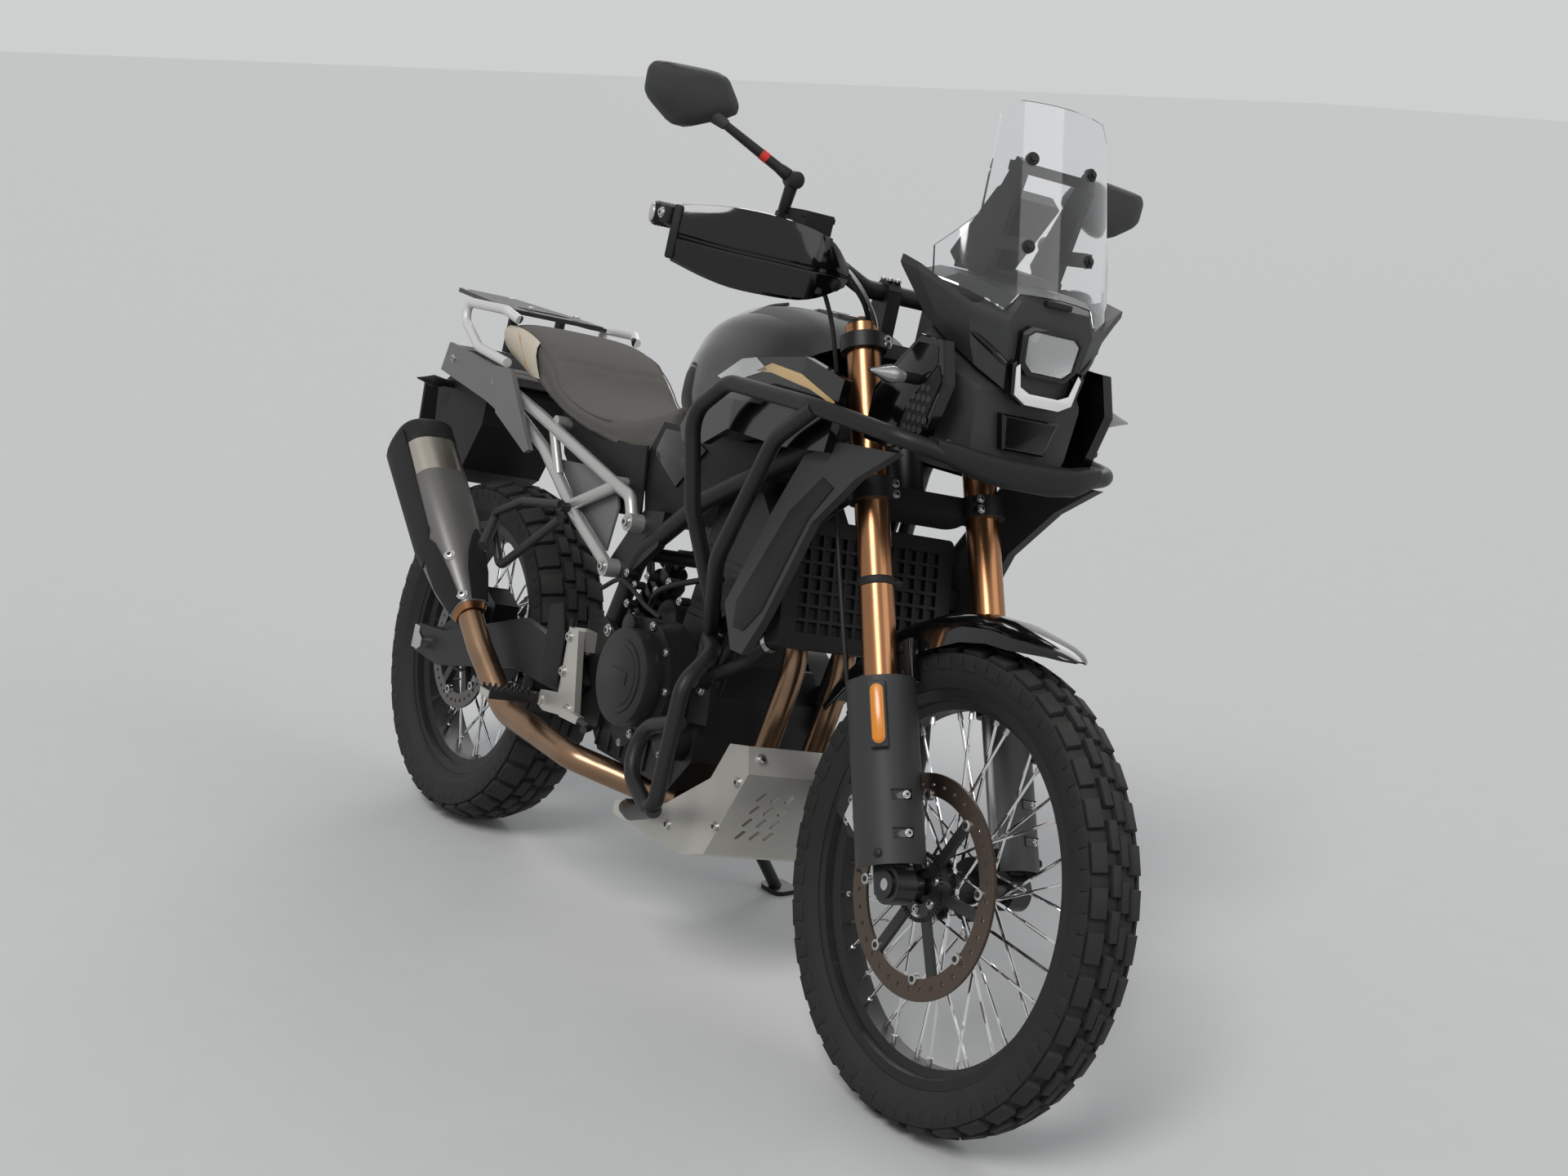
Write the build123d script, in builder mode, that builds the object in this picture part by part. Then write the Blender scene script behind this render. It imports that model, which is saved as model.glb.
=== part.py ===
from build123d import *
import os
from math import atan2, ceil, cos, degrees, hypot, pi, radians, sin, tan

os.makedirs("parts", exist_ok=True)

# ---------------------------------------------------------------------------
# The machine is drawn upright: X forward, Y to the rider's left, Z up, in
# millimetres, with the rear axle above the origin and the ground at Z = 0.
# Every finished piece is then leaned over onto the side stand.
# ---------------------------------------------------------------------------
WHEELBASE = 1505.0
FRONT_RADIUS = 347.5
REAR_RADIUS = 326.5
LEAN = 11.4
RAKE = 26.5
STEM_OFFSET = 55.0
LEG_OFFSET = 47.0
LEG_SPREAD = 208.0

FACE_GAP = 0.2
RUNNING_GAP = 0.05
TYRE_GAP = 0.3

FRONT_AXLE = Vector(WHEELBASE, 0, FRONT_RADIUS)
REAR_AXLE = Vector(0, 0, REAR_RADIUS)
CHAIN_LINE = 88.0


# Leaned over, each tyre rests on the flank of its crown, so the machine drops
# a little at each wheel; LIFT and PITCH put both crowns back on the ground.
TREAD_CROWNS = {"front": (46.0, 12.0), "rear": (70.0, 20.0)}


def crown_drop(name: str) -> float:
    """How far this tyre's lowest point falls below the ground when leaned."""
    half_width, drop = TREAD_CROWNS[name]
    crown_radius = (half_width**2 + drop**2) / (2 * drop)
    return crown_radius * (1 - cos(radians(LEAN)))


LIFT = crown_drop("rear")
PITCH = degrees(atan2(crown_drop("rear") - crown_drop("front"), WHEELBASE))
LEANED = Location((0, 0, LIFT)) * Location((0, 0, 0), (0, PITCH, 0)) * Location((0, 0, 0), (-LEAN, 0, 0))
GROUND = Plane(LEANED.inverse())


def side(y: float) -> Plane:
    """A plane seen from the right: local X is forward, local Y is up, at this Y."""
    return Plane(origin=(0, y, 0), x_dir=(1, 0, 0), z_dir=(0, -1, 0))


def across(x: float, z: float = 0) -> Plane:
    """A plane square to X: local X is to the left, local Y is up."""
    return Plane(origin=(x, 0, z), x_dir=(0, 1, 0), z_dir=(1, 0, 0))


# The steering frame: local X forward, local Y left, local Z up the steering axis.
rake = radians(RAKE)
STEER_AHEAD = Vector(cos(rake), 0, sin(rake))
STEER_UP = Vector(-sin(rake), 0, cos(rake))
STEER_ORIGIN = FRONT_AXLE - STEER_AHEAD * STEM_OFFSET
STEER = Plane(origin=STEER_ORIGIN, x_dir=STEER_AHEAD, z_dir=STEER_UP)
STEER_SIDE = Plane(origin=STEER_ORIGIN, x_dir=STEER_AHEAD, z_dir=(0, -1, 0))


def steer_point(ahead: float, left: float, height: float) -> Vector:
    """A point given in the steering frame, in the machine's frame."""
    return STEER_ORIGIN + STEER_AHEAD * ahead + Vector(0, left, 0) + STEER_UP * height


def tube(points, bends, radius: float, mode: Mode = Mode.ADD):
    """Sweep a round bar along straight runs joined by tangent arcs."""
    with BuildLine() as route:
        if len(points) > 2:
            FilletPolyline(*points, radius=bends)
        else:
            Line(*points)
    with BuildSketch(Plane(origin=route.line @ 0, z_dir=route.line % 0)) as section:
        Circle(radius)
    sweep(section.sketch, path=route.line, mode=mode)


def hull_of_sections(rows):
    """Loft rounded rectangles square to X: rows of x, half width, low, high, corner."""
    faces = []
    for x, half_width, low, high, corner in rows:
        with BuildSketch(across(x, (low + high) / 2)) as section:
            RectangleRounded(2 * half_width, high - low, corner)
        faces.append(section.sketch)
    loft(faces, ruled=True)


def plate(outline, y_from: float, y_to: float, mode: Mode = Mode.ADD):
    """A flat plate with this side outline, between two Y."""
    with BuildSketch(side(y_from)) as face:
        with BuildLine():
            Polyline(*outline, close=True)
        make_face()
    extrude(face.sketch, amount=y_from - y_to, mode=mode)


# ---------------------------------------------------------------------------
# Wheels: tyre, laced rim with its hub, and brake disc
# ---------------------------------------------------------------------------
SPOKE_COUNT = 36
SPOKE_RADIUS = 2.2
SPOKE_SWING = 48.0
RIM_WALL = 5.0
RIM_FLANGE = 5.0
AXLE_RADIUS = 12.5
FRONT_DISC_Y = -57.0
HUB_FLANGE_T = 6.0
DISC_THICKNESS = 4.5
CARRIER_THICKNESS = 5.0
CARRIER_ARMS = 6
CARRIER_ARM_WIDTH = 16.0
LUG_DEPTH = 11.0

SPROCKET_T = 8.0
CARRIER_RADIUS = 58.0

# name, axle, tyre radius, rim radius, rim half width, hub flange radius, hub flange y,
# hub half length, disc radius, disc band, disc y, sprocket radius
WHEELS = (
    ("front", FRONT_AXLE, FRONT_RADIUS, 281.7, 33.0, 46.0, 30.0, 52.0, 160.0, 32.0, FRONT_DISC_Y, 0.0),
    ("rear", REAR_AXLE, REAR_RADIUS, 243.9, 47.0, 62.0, 34.0, 54.0, 120.0, 28.0, -64.0, 104.0),
)
REAR_SPROCKET = WHEELS[1][-1]


def wheel_point(axle: Vector, reach: float, angle: float, y: float) -> Vector:
    """A point at this radius and angle about an axle."""
    turn = radians(angle)
    return axle + Vector(reach * cos(turn), y, reach * sin(turn))


wheel_pieces = []
for (name, axle, radius, rim, rim_half, flange_r, flange_y, hub_half,
     disc_r, disc_band, disc_y, sprocket_r) in WHEELS:
    tread, drop = TREAD_CROWNS[name]
    section_plane = Plane(origin=axle, x_dir=(0, 1, 0), z_dir=(1, 0, 0))
    axle_line = Axis(axle, (0, 1, 0))
    bead = rim - 10.0
    well = rim - 24.0
    seat_half = rim_half - RIM_FLANGE

    with BuildPart() as tyre:
        with BuildSketch(section_plane):
            with BuildLine():
                Polyline(
                    (tread, radius - drop), (tread * 0.98, radius - drop - LUG_DEPTH),
                    (tread * 0.96, rim + 30), (rim_half + 4, rim + 4),
                    (rim_half, rim + TYRE_GAP), (seat_half - TYRE_GAP, rim + TYRE_GAP),
                    (seat_half - TYRE_GAP, bead + TYRE_GAP), (-seat_half + TYRE_GAP, bead + TYRE_GAP),
                    (-seat_half + TYRE_GAP, rim + TYRE_GAP), (-rim_half, rim + TYRE_GAP),
                    (-rim_half - 4, rim + 4), (-tread * 0.96, rim + 30),
                    (-tread * 0.98, radius - drop - LUG_DEPTH), (-tread, radius - drop),
                )
                ThreePointArc((-tread, radius - drop), (0, radius), (tread, radius - drop))
            make_face()
        revolve(axis=axle_line)
    tyre.part.label = f"{name}_tyre"

    spoke_foot = flange_r - 3.0
    rim_side = 6.0
    with BuildPart() as laced_rim:
        with BuildSketch(section_plane):
            with BuildLine():
                Polyline(
                    (rim_half, rim), (seat_half, rim), (seat_half, bead), (seat_half - 8, bead - 2),
                    (seat_half - 14, well), (-seat_half + 14, well), (-seat_half + 8, bead - 2),
                    (-seat_half, bead), (-seat_half, rim), (-rim_half, rim), (-rim_half, bead - RIM_WALL),
                    (-seat_half + 8, bead - 2 - RIM_WALL), (-seat_half + 14, well - RIM_WALL),
                    (seat_half - 14, well - RIM_WALL), (seat_half - 8, bead - 2 - RIM_WALL),
                    (rim_half, bead - RIM_WALL), close=True,
                )
            make_face()
            with BuildLine():
                Polyline(
                    (-hub_half, AXLE_RADIUS + RUNNING_GAP), (hub_half, AXLE_RADIUS + RUNNING_GAP),
                    (hub_half, 34), (flange_y + HUB_FLANGE_T / 2, 34),
                    (flange_y + HUB_FLANGE_T / 2, flange_r), (flange_y - HUB_FLANGE_T / 2, flange_r),
                    (flange_y - HUB_FLANGE_T / 2, 25), (-flange_y + HUB_FLANGE_T / 2, 25),
                    (-flange_y + HUB_FLANGE_T / 2, flange_r), (-flange_y - HUB_FLANGE_T / 2, flange_r),
                    (-flange_y - HUB_FLANGE_T / 2, 40), (-hub_half, 40), close=True,
                )
            make_face()
        revolve(axis=axle_line)
        for spoke in range(SPOKE_COUNT):
            flank = 1 if spoke % 2 else -1
            swing = SPOKE_SWING if spoke % 4 < 2 else -SPOKE_SWING
            rim_angle = spoke * 360 / SPOKE_COUNT
            foot = wheel_point(axle, spoke_foot, rim_angle + swing, flank * flange_y)
            head = wheel_point(axle, well - RIM_WALL / 2, rim_angle, flank * rim_side)
            with BuildSketch(Plane(origin=foot, z_dir=head - foot)):
                Circle(SPOKE_RADIUS)
        extrude(amount=(head - foot).length)
        if sprocket_r:
            with BuildSketch(Plane(origin=axle + Vector(0, hub_half - 2, 0), z_dir=(0, 1, 0))):
                Circle(CARRIER_RADIUS)
                Circle(AXLE_RADIUS + 12, mode=Mode.SUBTRACT)
            extrude(amount=CHAIN_LINE + SPROCKET_T / 2 - hub_half + 2)
            with BuildSketch(Plane(origin=axle + Vector(0, CHAIN_LINE - SPROCKET_T / 2, 0), z_dir=(0, 1, 0))):
                Circle(sprocket_r)
                Circle(CARRIER_RADIUS - 2, mode=Mode.SUBTRACT)
                with PolarLocations((sprocket_r + CARRIER_RADIUS) / 2, 8):
                    Circle(14, mode=Mode.SUBTRACT)
            extrude(amount=SPROCKET_T)
    laced_rim.part.label = f"{name}_rim"

    disc_face = Plane(origin=axle + Vector(0, disc_y, 0), x_dir=(1, 0, 0), z_dir=(0, -1, 0))
    with BuildPart() as disc:
        with BuildSketch(disc_face.offset(-DISC_THICKNESS / 2)):
            Circle(disc_r)
            Circle(disc_r - disc_band, mode=Mode.SUBTRACT)
            with PolarLocations(disc_r - disc_band / 2, 36):
                Circle(3.2, mode=Mode.SUBTRACT)
        extrude(amount=DISC_THICKNESS)
        with BuildSketch(Plane(origin=axle + Vector(0, -hub_half, 0), x_dir=(1, 0, 0), z_dir=(0, -1, 0))):
            Circle(40)
            with PolarLocations((disc_r - disc_band + 36) / 2, CARRIER_ARMS):
                Rectangle(disc_r - disc_band - 36 + 4, CARRIER_ARM_WIDTH)
            Circle(AXLE_RADIUS + 12, mode=Mode.SUBTRACT)
        extrude(amount=-disc_y - hub_half + DISC_THICKNESS / 2)
    disc.part.label = f"{name}_disc"
    wheel_pieces += [tyre, laced_rim, disc]




# ---------------------------------------------------------------------------
# Steering: clamps, fork, fender, axle, caliper, bar and what it carries
# ---------------------------------------------------------------------------
TUBE_RADIUS = 25.5
TUBE_FOOT = 262.0
TUBE_TOP = 833.0
STANCHION_RADIUS = 20.5
LOWER_CLAMP = (560.0, 592.0)
UPPER_CLAMP = (792.0, 816.0)
STEM_RADIUS = 16.0
STEM_TOP = 826.0
LUG_RADIUS = 28.0
LUG_HALF = 17.0
LEG_Y = LEG_SPREAD / 2
HEAD_TUBE = (597.0, 787.0)
HEAD_TUBE_RADIUS = 27.0
FORK_LEGS = ((LEG_OFFSET, LEG_Y), (LEG_OFFSET, -LEG_Y))

with BuildPart() as triple_clamps:
    for low, high in (LOWER_CLAMP, UPPER_CLAMP):
        with BuildSketch(STEER.offset(low)):
            with Locations((LEG_OFFSET / 2 - 8, 0)):
                RectangleRounded(62, LEG_SPREAD - 24, 18)
            with Locations(*FORK_LEGS):
                Circle(TUBE_RADIUS + 9)
                Circle(TUBE_RADIUS + FACE_GAP, mode=Mode.SUBTRACT)
        extrude(amount=high - low)
    with BuildSketch(STEER.offset(LOWER_CLAMP[0])):
        Circle(STEM_RADIUS)
    extrude(amount=STEM_TOP - LOWER_CLAMP[0])

with BuildPart() as fork_tubes:
    with BuildSketch(STEER.offset(TUBE_FOOT)):
        with Locations(*FORK_LEGS):
            Circle(TUBE_RADIUS)
    extrude(amount=TUBE_TOP - TUBE_FOOT)

CALIPER_CENTRE = (-34.0, 110.0)
CALIPER_SIZE = (62.0, 118.0)
CALIPER_TURN = 40.0
CALIPER_MOUNT_Y = -92.0
CALIPER_SLOT = 17.5
CALIPER_SLOT_Y = -55.75
BRACKET_T = 8.0
with BuildPart() as fork_legs:
    with BuildSketch(STEER.offset(30)):
        with Locations(*FORK_LEGS):
            Circle(STANCHION_RADIUS)
    extrude(amount=TUBE_FOOT - 30)
    with BuildSketch(STEER.offset(-10)):
        with Locations(*FORK_LEGS):
            RectangleRounded(52, 2 * LUG_HALF, 8)
    extrude(amount=90)
    for flank in (1, -1):
        with BuildSketch(STEER_SIDE.offset(-flank * LEG_Y - LUG_HALF)):
            with Locations((STEM_OFFSET, 0)):
                Circle(LUG_RADIUS)
        extrude(amount=2 * LUG_HALF)
    with BuildSketch(STEER_SIDE.offset(-CALIPER_MOUNT_Y)):
        with BuildLine():
            Polyline((STEM_OFFSET - 10, 40), (-30, 150), (-62, 118), (STEM_OFFSET - 30, 0), close=True)
        make_face()
    extrude(amount=BRACKET_T)
    with BuildSketch(STEER_SIDE):
        with Locations((STEM_OFFSET, 0)):
            Circle(AXLE_RADIUS + FACE_GAP)
    extrude(amount=200, both=True, mode=Mode.SUBTRACT)

AXLE_BORE = 8.5
AXLE_HALF = LEG_Y + LUG_HALF + FACE_GAP
NUT_THICKNESS = 4.0
with BuildPart() as front_axle:
    with BuildSketch(STEER_SIDE.offset(-AXLE_HALF)):
        with Locations((STEM_OFFSET, 0)):
            Circle(AXLE_RADIUS)
    extrude(amount=2 * AXLE_HALF)
    for flank in (1, -1):
        with BuildSketch(STEER_SIDE.offset(-flank * AXLE_HALF)):
            with Locations((STEM_OFFSET, 0)):
                Circle(19)
        extrude(amount=-flank * NUT_THICKNESS)
        with BuildSketch(STEER_SIDE.offset(-flank * (LEG_Y - LUG_HALF - FACE_GAP))):
            with Locations((STEM_OFFSET, 0)):
                Circle(18)
        extrude(amount=flank * (LEG_Y - LUG_HALF - 66))
    with BuildSketch(STEER_SIDE):
        with Locations((STEM_OFFSET, 0)):
            Circle(AXLE_BORE)
    extrude(amount=200, both=True, mode=Mode.SUBTRACT)

GUARD_RADIUS = 50.0
GUARD_WALL = 3.0
GUARD_FOOT = 24.0
GUARD_TOP = 292.0
with BuildPart() as fork_guards:
    for flank in (1, -1):
        with BuildSketch(STEER.offset(GUARD_FOOT)):
            with Locations((LEG_OFFSET, flank * LEG_Y)):
                Circle(GUARD_RADIUS)
                Circle(GUARD_RADIUS - GUARD_WALL, mode=Mode.SUBTRACT)
            with Locations((LEG_OFFSET - 37, flank * (LEG_Y - 37))):
                Rectangle(200, 92, rotation=-flank * 42, mode=Mode.SUBTRACT)
        extrude(amount=GUARD_TOP - GUARD_FOOT)
        with BuildSketch(STEER.offset(TUBE_FOOT - 60)):
            with Locations((LEG_OFFSET + 24, flank * (LEG_Y + 24))):
                Rectangle(50, 12, rotation=flank * 45)
            with Locations((LEG_OFFSET, flank * LEG_Y)):
                Circle(STANCHION_RADIUS + FACE_GAP, mode=Mode.SUBTRACT)
        extrude(amount=20)

FENDER_RADIUS = FRONT_RADIUS + 46
FENDER_SKIRT = 32.0
FENDER_HALF = 60.0
FENDER_WALL = 3.0
FENDER_BACK = 152.0
FENDER_FRONT = 84.0
FENDER_TIP = (1655.0, 716.0)
front_x, front_z = FRONT_AXLE.X, FRONT_AXLE.Z


def fender_line(reach: float, angle: float):
    """A side-view point of the fender's arc about the front axle."""
    return (front_x + reach * cos(radians(angle)), front_z + reach * sin(radians(angle)))


with BuildPart() as front_fender:
    with BuildSketch(side(-FENDER_HALF)):
        with BuildLine():
            ThreePointArc(fender_line(FENDER_RADIUS, FENDER_BACK), fender_line(FENDER_RADIUS, 118),
                          fender_line(FENDER_RADIUS, FENDER_FRONT))
            Polyline(fender_line(FENDER_RADIUS, FENDER_FRONT), FENDER_TIP,
                     (FENDER_TIP[0] - 12, FENDER_TIP[1] - 14), fender_line(FENDER_RADIUS - FENDER_SKIRT, FENDER_FRONT))
            ThreePointArc(fender_line(FENDER_RADIUS - FENDER_SKIRT, FENDER_FRONT),
                          fender_line(FENDER_RADIUS - FENDER_SKIRT, 118),
                          fender_line(FENDER_RADIUS - FENDER_SKIRT, FENDER_BACK))
            Line(fender_line(FENDER_RADIUS - FENDER_SKIRT, FENDER_BACK), fender_line(FENDER_RADIUS, FENDER_BACK))
        make_face()
    extrude(amount=-2 * FENDER_HALF)
    with BuildSketch(side(-FENDER_HALF + FENDER_WALL)):
        with BuildLine():
            low = FENDER_RADIUS - FENDER_WALL
            deep = FENDER_RADIUS - 2 * FENDER_SKIRT
            ThreePointArc(fender_line(low, FENDER_BACK + 2), fender_line(low, 118), fender_line(low, FENDER_FRONT))
            Polyline(fender_line(low, FENDER_FRONT), (FENDER_TIP[0] - 16, FENDER_TIP[1] - 3),
                     (FENDER_TIP[0], FENDER_TIP[1] - 90), fender_line(deep, FENDER_FRONT))
            ThreePointArc(fender_line(deep, FENDER_FRONT), fender_line(deep, 118), fender_line(deep, FENDER_BACK + 2))
            Line(fender_line(deep, FENDER_BACK + 2), fender_line(low, FENDER_BACK + 2))
        make_face()
    extrude(amount=-2 * (FENDER_HALF - FENDER_WALL), mode=Mode.SUBTRACT)
    with BuildSketch(Plane.XY):
        with BuildLine():
            Polyline((front_x - 400, -FENDER_HALF), (front_x + 60, -FENDER_HALF), (FENDER_TIP[0] + 1, -14),
                     (FENDER_TIP[0] + 1, 14), (front_x + 60, FENDER_HALF), (front_x - 400, FENDER_HALF),
                     close=True)
        make_face()
    extrude(amount=900, mode=Mode.INTERSECT)
    for flank in (1, -1):
        with BuildSketch(STEER.offset(355)):
            with Locations((LEG_OFFSET + 14, flank * (FENDER_HALF + 8))):
                Rectangle(60, 20)
            with Locations((LEG_OFFSET, flank * LEG_Y)):
                Circle(TUBE_RADIUS + FACE_GAP, mode=Mode.SUBTRACT)
        extrude(amount=34)

with BuildPart() as front_caliper:
    with BuildSketch(STEER_SIDE.offset(-CALIPER_MOUNT_Y - FACE_GAP)):
        with Locations(CALIPER_CENTRE):
            RectangleRounded(*CALIPER_SIZE, 14, rotation=CALIPER_TURN)
    extrude(amount=-58)
    with BuildSketch(STEER_SIDE.offset(-CALIPER_SLOT_Y - CALIPER_SLOT / 2)):
        with Locations((STEM_OFFSET, 0)):
            Circle(166)
    extrude(amount=CALIPER_SLOT, mode=Mode.SUBTRACT)

BAR_RADIUS = 14.0
GRIP_RADIUS = 17.0
BAR_CENTRE = (1092.0, 1146.0)
BAR_MID = (BAR_CENTRE[0], 0, BAR_CENTRE[1])
BAR_BEND = (BAR_CENTRE[0], 92, BAR_CENTRE[1])
BAR_RISE = (1080, 190, 1188)
BAR_END = (1004, 424, 1185)
BAR_ROUTE = (BAR_MID, BAR_BEND, BAR_RISE, BAR_END)
BAR_BENDS = (50, 60)
RISER = (24.0, 34.0)
CAP_T = 5.0
with BuildPart() as handlebar:
    tube(BAR_ROUTE, BAR_BENDS, BAR_RADIUS)
    along = (Vector(*BAR_END) - Vector(*BAR_RISE)).normalized()
    with BuildSketch(Plane(origin=Vector(*BAR_END) - along * 130, z_dir=along)):
        Circle(GRIP_RADIUS)
    extrude(amount=128)
    with BuildSketch(side(-60)):
        with BuildLine():
            top = steer_point(24, 0, UPPER_CLAMP[1] + FACE_GAP)
            back = steer_point(-22, 0, UPPER_CLAMP[1] + FACE_GAP)
            Polyline((top.X, top.Z), (BAR_CENTRE[0] + 20, BAR_CENTRE[1] + 6), (BAR_CENTRE[0] + 8, BAR_CENTRE[1] + 20),
                     (BAR_CENTRE[0] - 8, BAR_CENTRE[1] + 20), (BAR_CENTRE[0] - 20, BAR_CENTRE[1] + 6),
                     (back.X, back.Z), close=True)
        make_face()
    extrude(amount=-RISER[0])
    mirror(about=Plane.XZ)

# x of the rear face, y, low, high of the shell's sections
HANDGUARD_ROWS = ((1142, 165, 1138, 1174), (1150, 230, 1108, 1212), (1108, 330, 1104, 1218), (1048, 405, 1122, 1206))
HANDGUARD_T = 10.0
with BuildPart() as handguards:
    faces = []
    for x, y, low, high in HANDGUARD_ROWS:
        with BuildSketch(side(y)) as section:
            with Locations((x, (low + high) / 2)):
                RectangleRounded(HANDGUARD_T, high - low, 4)
        faces.append(section.sketch)
    loft(faces, ruled=True)
    tube(((1052, 402, 1165), (1040, 444, 1178), (1008, 444, 1184)), (14,), 9)
    with BuildSketch(Plane(origin=Vector(*BAR_END) + along * FACE_GAP, z_dir=along)):
        Circle(17)
    extrude(amount=9)
    tube(((1142, 172, 1158), (1104, 172, 1176)), (), 9)
    with BuildSketch(side(160)):
        with Locations((1086, 1178)):
            Circle(BAR_RADIUS + 9)
    extrude(amount=-22)
    tube(BAR_ROUTE, BAR_BENDS, BAR_RADIUS + FACE_GAP, mode=Mode.SUBTRACT)
    mirror(about=Plane.XZ)

MIRROR_BALL = (1076.0, 246.0, 1276.0)
MIRROR_ROOT = (1064.0, 246.0, 1213.5)
MIRROR_NECK = (1008.0, 364.0, 1342.0)
MIRROR_HEAD = (1006.0, 398.0, 1360.0)
MIRROR_STEM = 6.5
MIRROR_BALL_RADIUS = 14.0
# ahead of the glass face, shrink all round
MIRROR_SHELL = ((-17.0, 0.0), (0.0, 4.0), (17.0, 26.0))
MIRROR_SIZE = (150.0, 96.0)
with BuildPart() as mirrors:
    tube((MIRROR_ROOT, MIRROR_BALL), (), MIRROR_STEM)
    tube((MIRROR_BALL, MIRROR_NECK), (), MIRROR_STEM)
    with BuildSketch(Plane(origin=(MIRROR_BALL[0] + 13, MIRROR_BALL[1], MIRROR_BALL[2]), z_dir=(-1, 0, 0))):
        Circle(MIRROR_BALL_RADIUS)
    extrude(amount=26)
    mirror_plane = Plane(origin=MIRROR_HEAD, x_dir=(0, 1, 0), z_dir=(1, 0, 0))
    faces = []
    for shift, shrink in MIRROR_SHELL:
        with BuildSketch(mirror_plane.offset(shift)) as section:
            RectangleRounded(MIRROR_SIZE[0] - 2 * shrink, MIRROR_SIZE[1] - 2 * shrink, 20)
        faces.append(section.sketch)
    loft(faces, ruled=True)
    mirror(about=Plane.XZ)

CONTROL_Y = 262.0
CONTROL_SIZE = (44.0, 50.0, 52.0)
LEVER_ROUTE = ((1082, CONTROL_Y, 1192), (1098, 302, 1182), (1046, 385, 1170))
LEVER_RADIUS = 6.0
CYLINDER_RUN = ((1106, -186, 1192), (1098, -250, 1190))
RESERVOIR = (1098.0, -216.0, 1196.0)
RESERVOIR_SIZE = (46.0, 58.0, 40.0)
with BuildPart() as bar_controls:
    for flank in (1, -1):
        with BuildSketch(side(flank * CONTROL_Y + CONTROL_SIZE[2] / 2)):
            with Locations((1056, 1187)):
                RectangleRounded(CONTROL_SIZE[0], CONTROL_SIZE[1], 8)
        extrude(amount=CONTROL_SIZE[2])
        tube([(x, flank * y, z) for x, y, z in LEVER_ROUTE], (30,), LEVER_RADIUS)
    tube(CYLINDER_RUN, (), 11)
    with BuildSketch(Plane(origin=RESERVOIR)):
        RectangleRounded(RESERVOIR_SIZE[0], RESERVOIR_SIZE[1], 8)
    extrude(amount=RESERVOIR_SIZE[2])
    for flank in (1, -1):
        tube([(x, flank * y, z) for x, y, z in BAR_ROUTE], BAR_BENDS, BAR_RADIUS + FACE_GAP, mode=Mode.SUBTRACT)

HOSE_RADIUS = 3.5
# ahead of the steering axis, to the left, up it
HOSE_POINTS = ((69, -206, 912), (58, -168, 836), (30, -142, 748), (10, -136, 652), (6, -139, 556),
               (0, -133, 460), (4, -135, 366), (-3, -126, 276), (-24, -107, 204), (-50, -96.2, 163))


def cord_bends(points):
    """Bend radii for a cord: each takes at most 0.45 of the shorter run beside it."""
    radii = []
    for before, here, after in zip(points, points[1:], points[2:]):
        run_in = Vector(*here) - Vector(*before)
        run_out = Vector(*after) - Vector(*here)
        turn = radians(run_in.get_angle(run_out))
        radii.append(CORD_SHARE * min(run_in.length, run_out.length) / tan(turn / 2))
    return radii


CORD_SHARE = 0.45
hose_route = [tuple(steer_point(*point)) for point in HOSE_POINTS]
hose_bends = cord_bends(hose_route)
print("brake hose bend radii, mm:", [round(bend) for bend in hose_bends])
with BuildPart() as brake_hose:
    tube(hose_route, hose_bends, HOSE_RADIUS)


# ---------------------------------------------------------------------------
# Frame, engine and what hangs from them
# ---------------------------------------------------------------------------
FRAME_TUBE = 16.0
FRAME_SIDE_Y = 109.0
FRAME_RAIL_Y = 104.0
CROSS_RADIUS = 12.0
SHOCK_TUBE = (640.0, 640.0)
TANK_TUBE = (942.0, 841.0)
TANK_POST = ((932, 835), (948, 835), (948, 885.8), (932, 885.8))
NOSE_BEAM = ((1163, 940), (1311.8, 1004), (1311.8, 1052), (1158, 968))
DOWN_TUBE = ((1160, 12, 900), (1075, 66, 800), (985, FRAME_RAIL_Y, 640), (950, FRAME_RAIL_Y, 480))
DOWN_TUBE_BENDS = (120, 120)
DOWN_TUBE_RADIUS = FRAME_TUBE * 0.8
PLATE_T = 12.0
PIVOT = (575.0, 400.0)
PIVOT_PIN = 10.0
SUBFRAME_Y = 130.0
SUBFRAME_BOLTS = ((637.0, 688.0), (589.0, 601.0))
FRONT_MOUNT = (935.0, 455.0)

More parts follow.
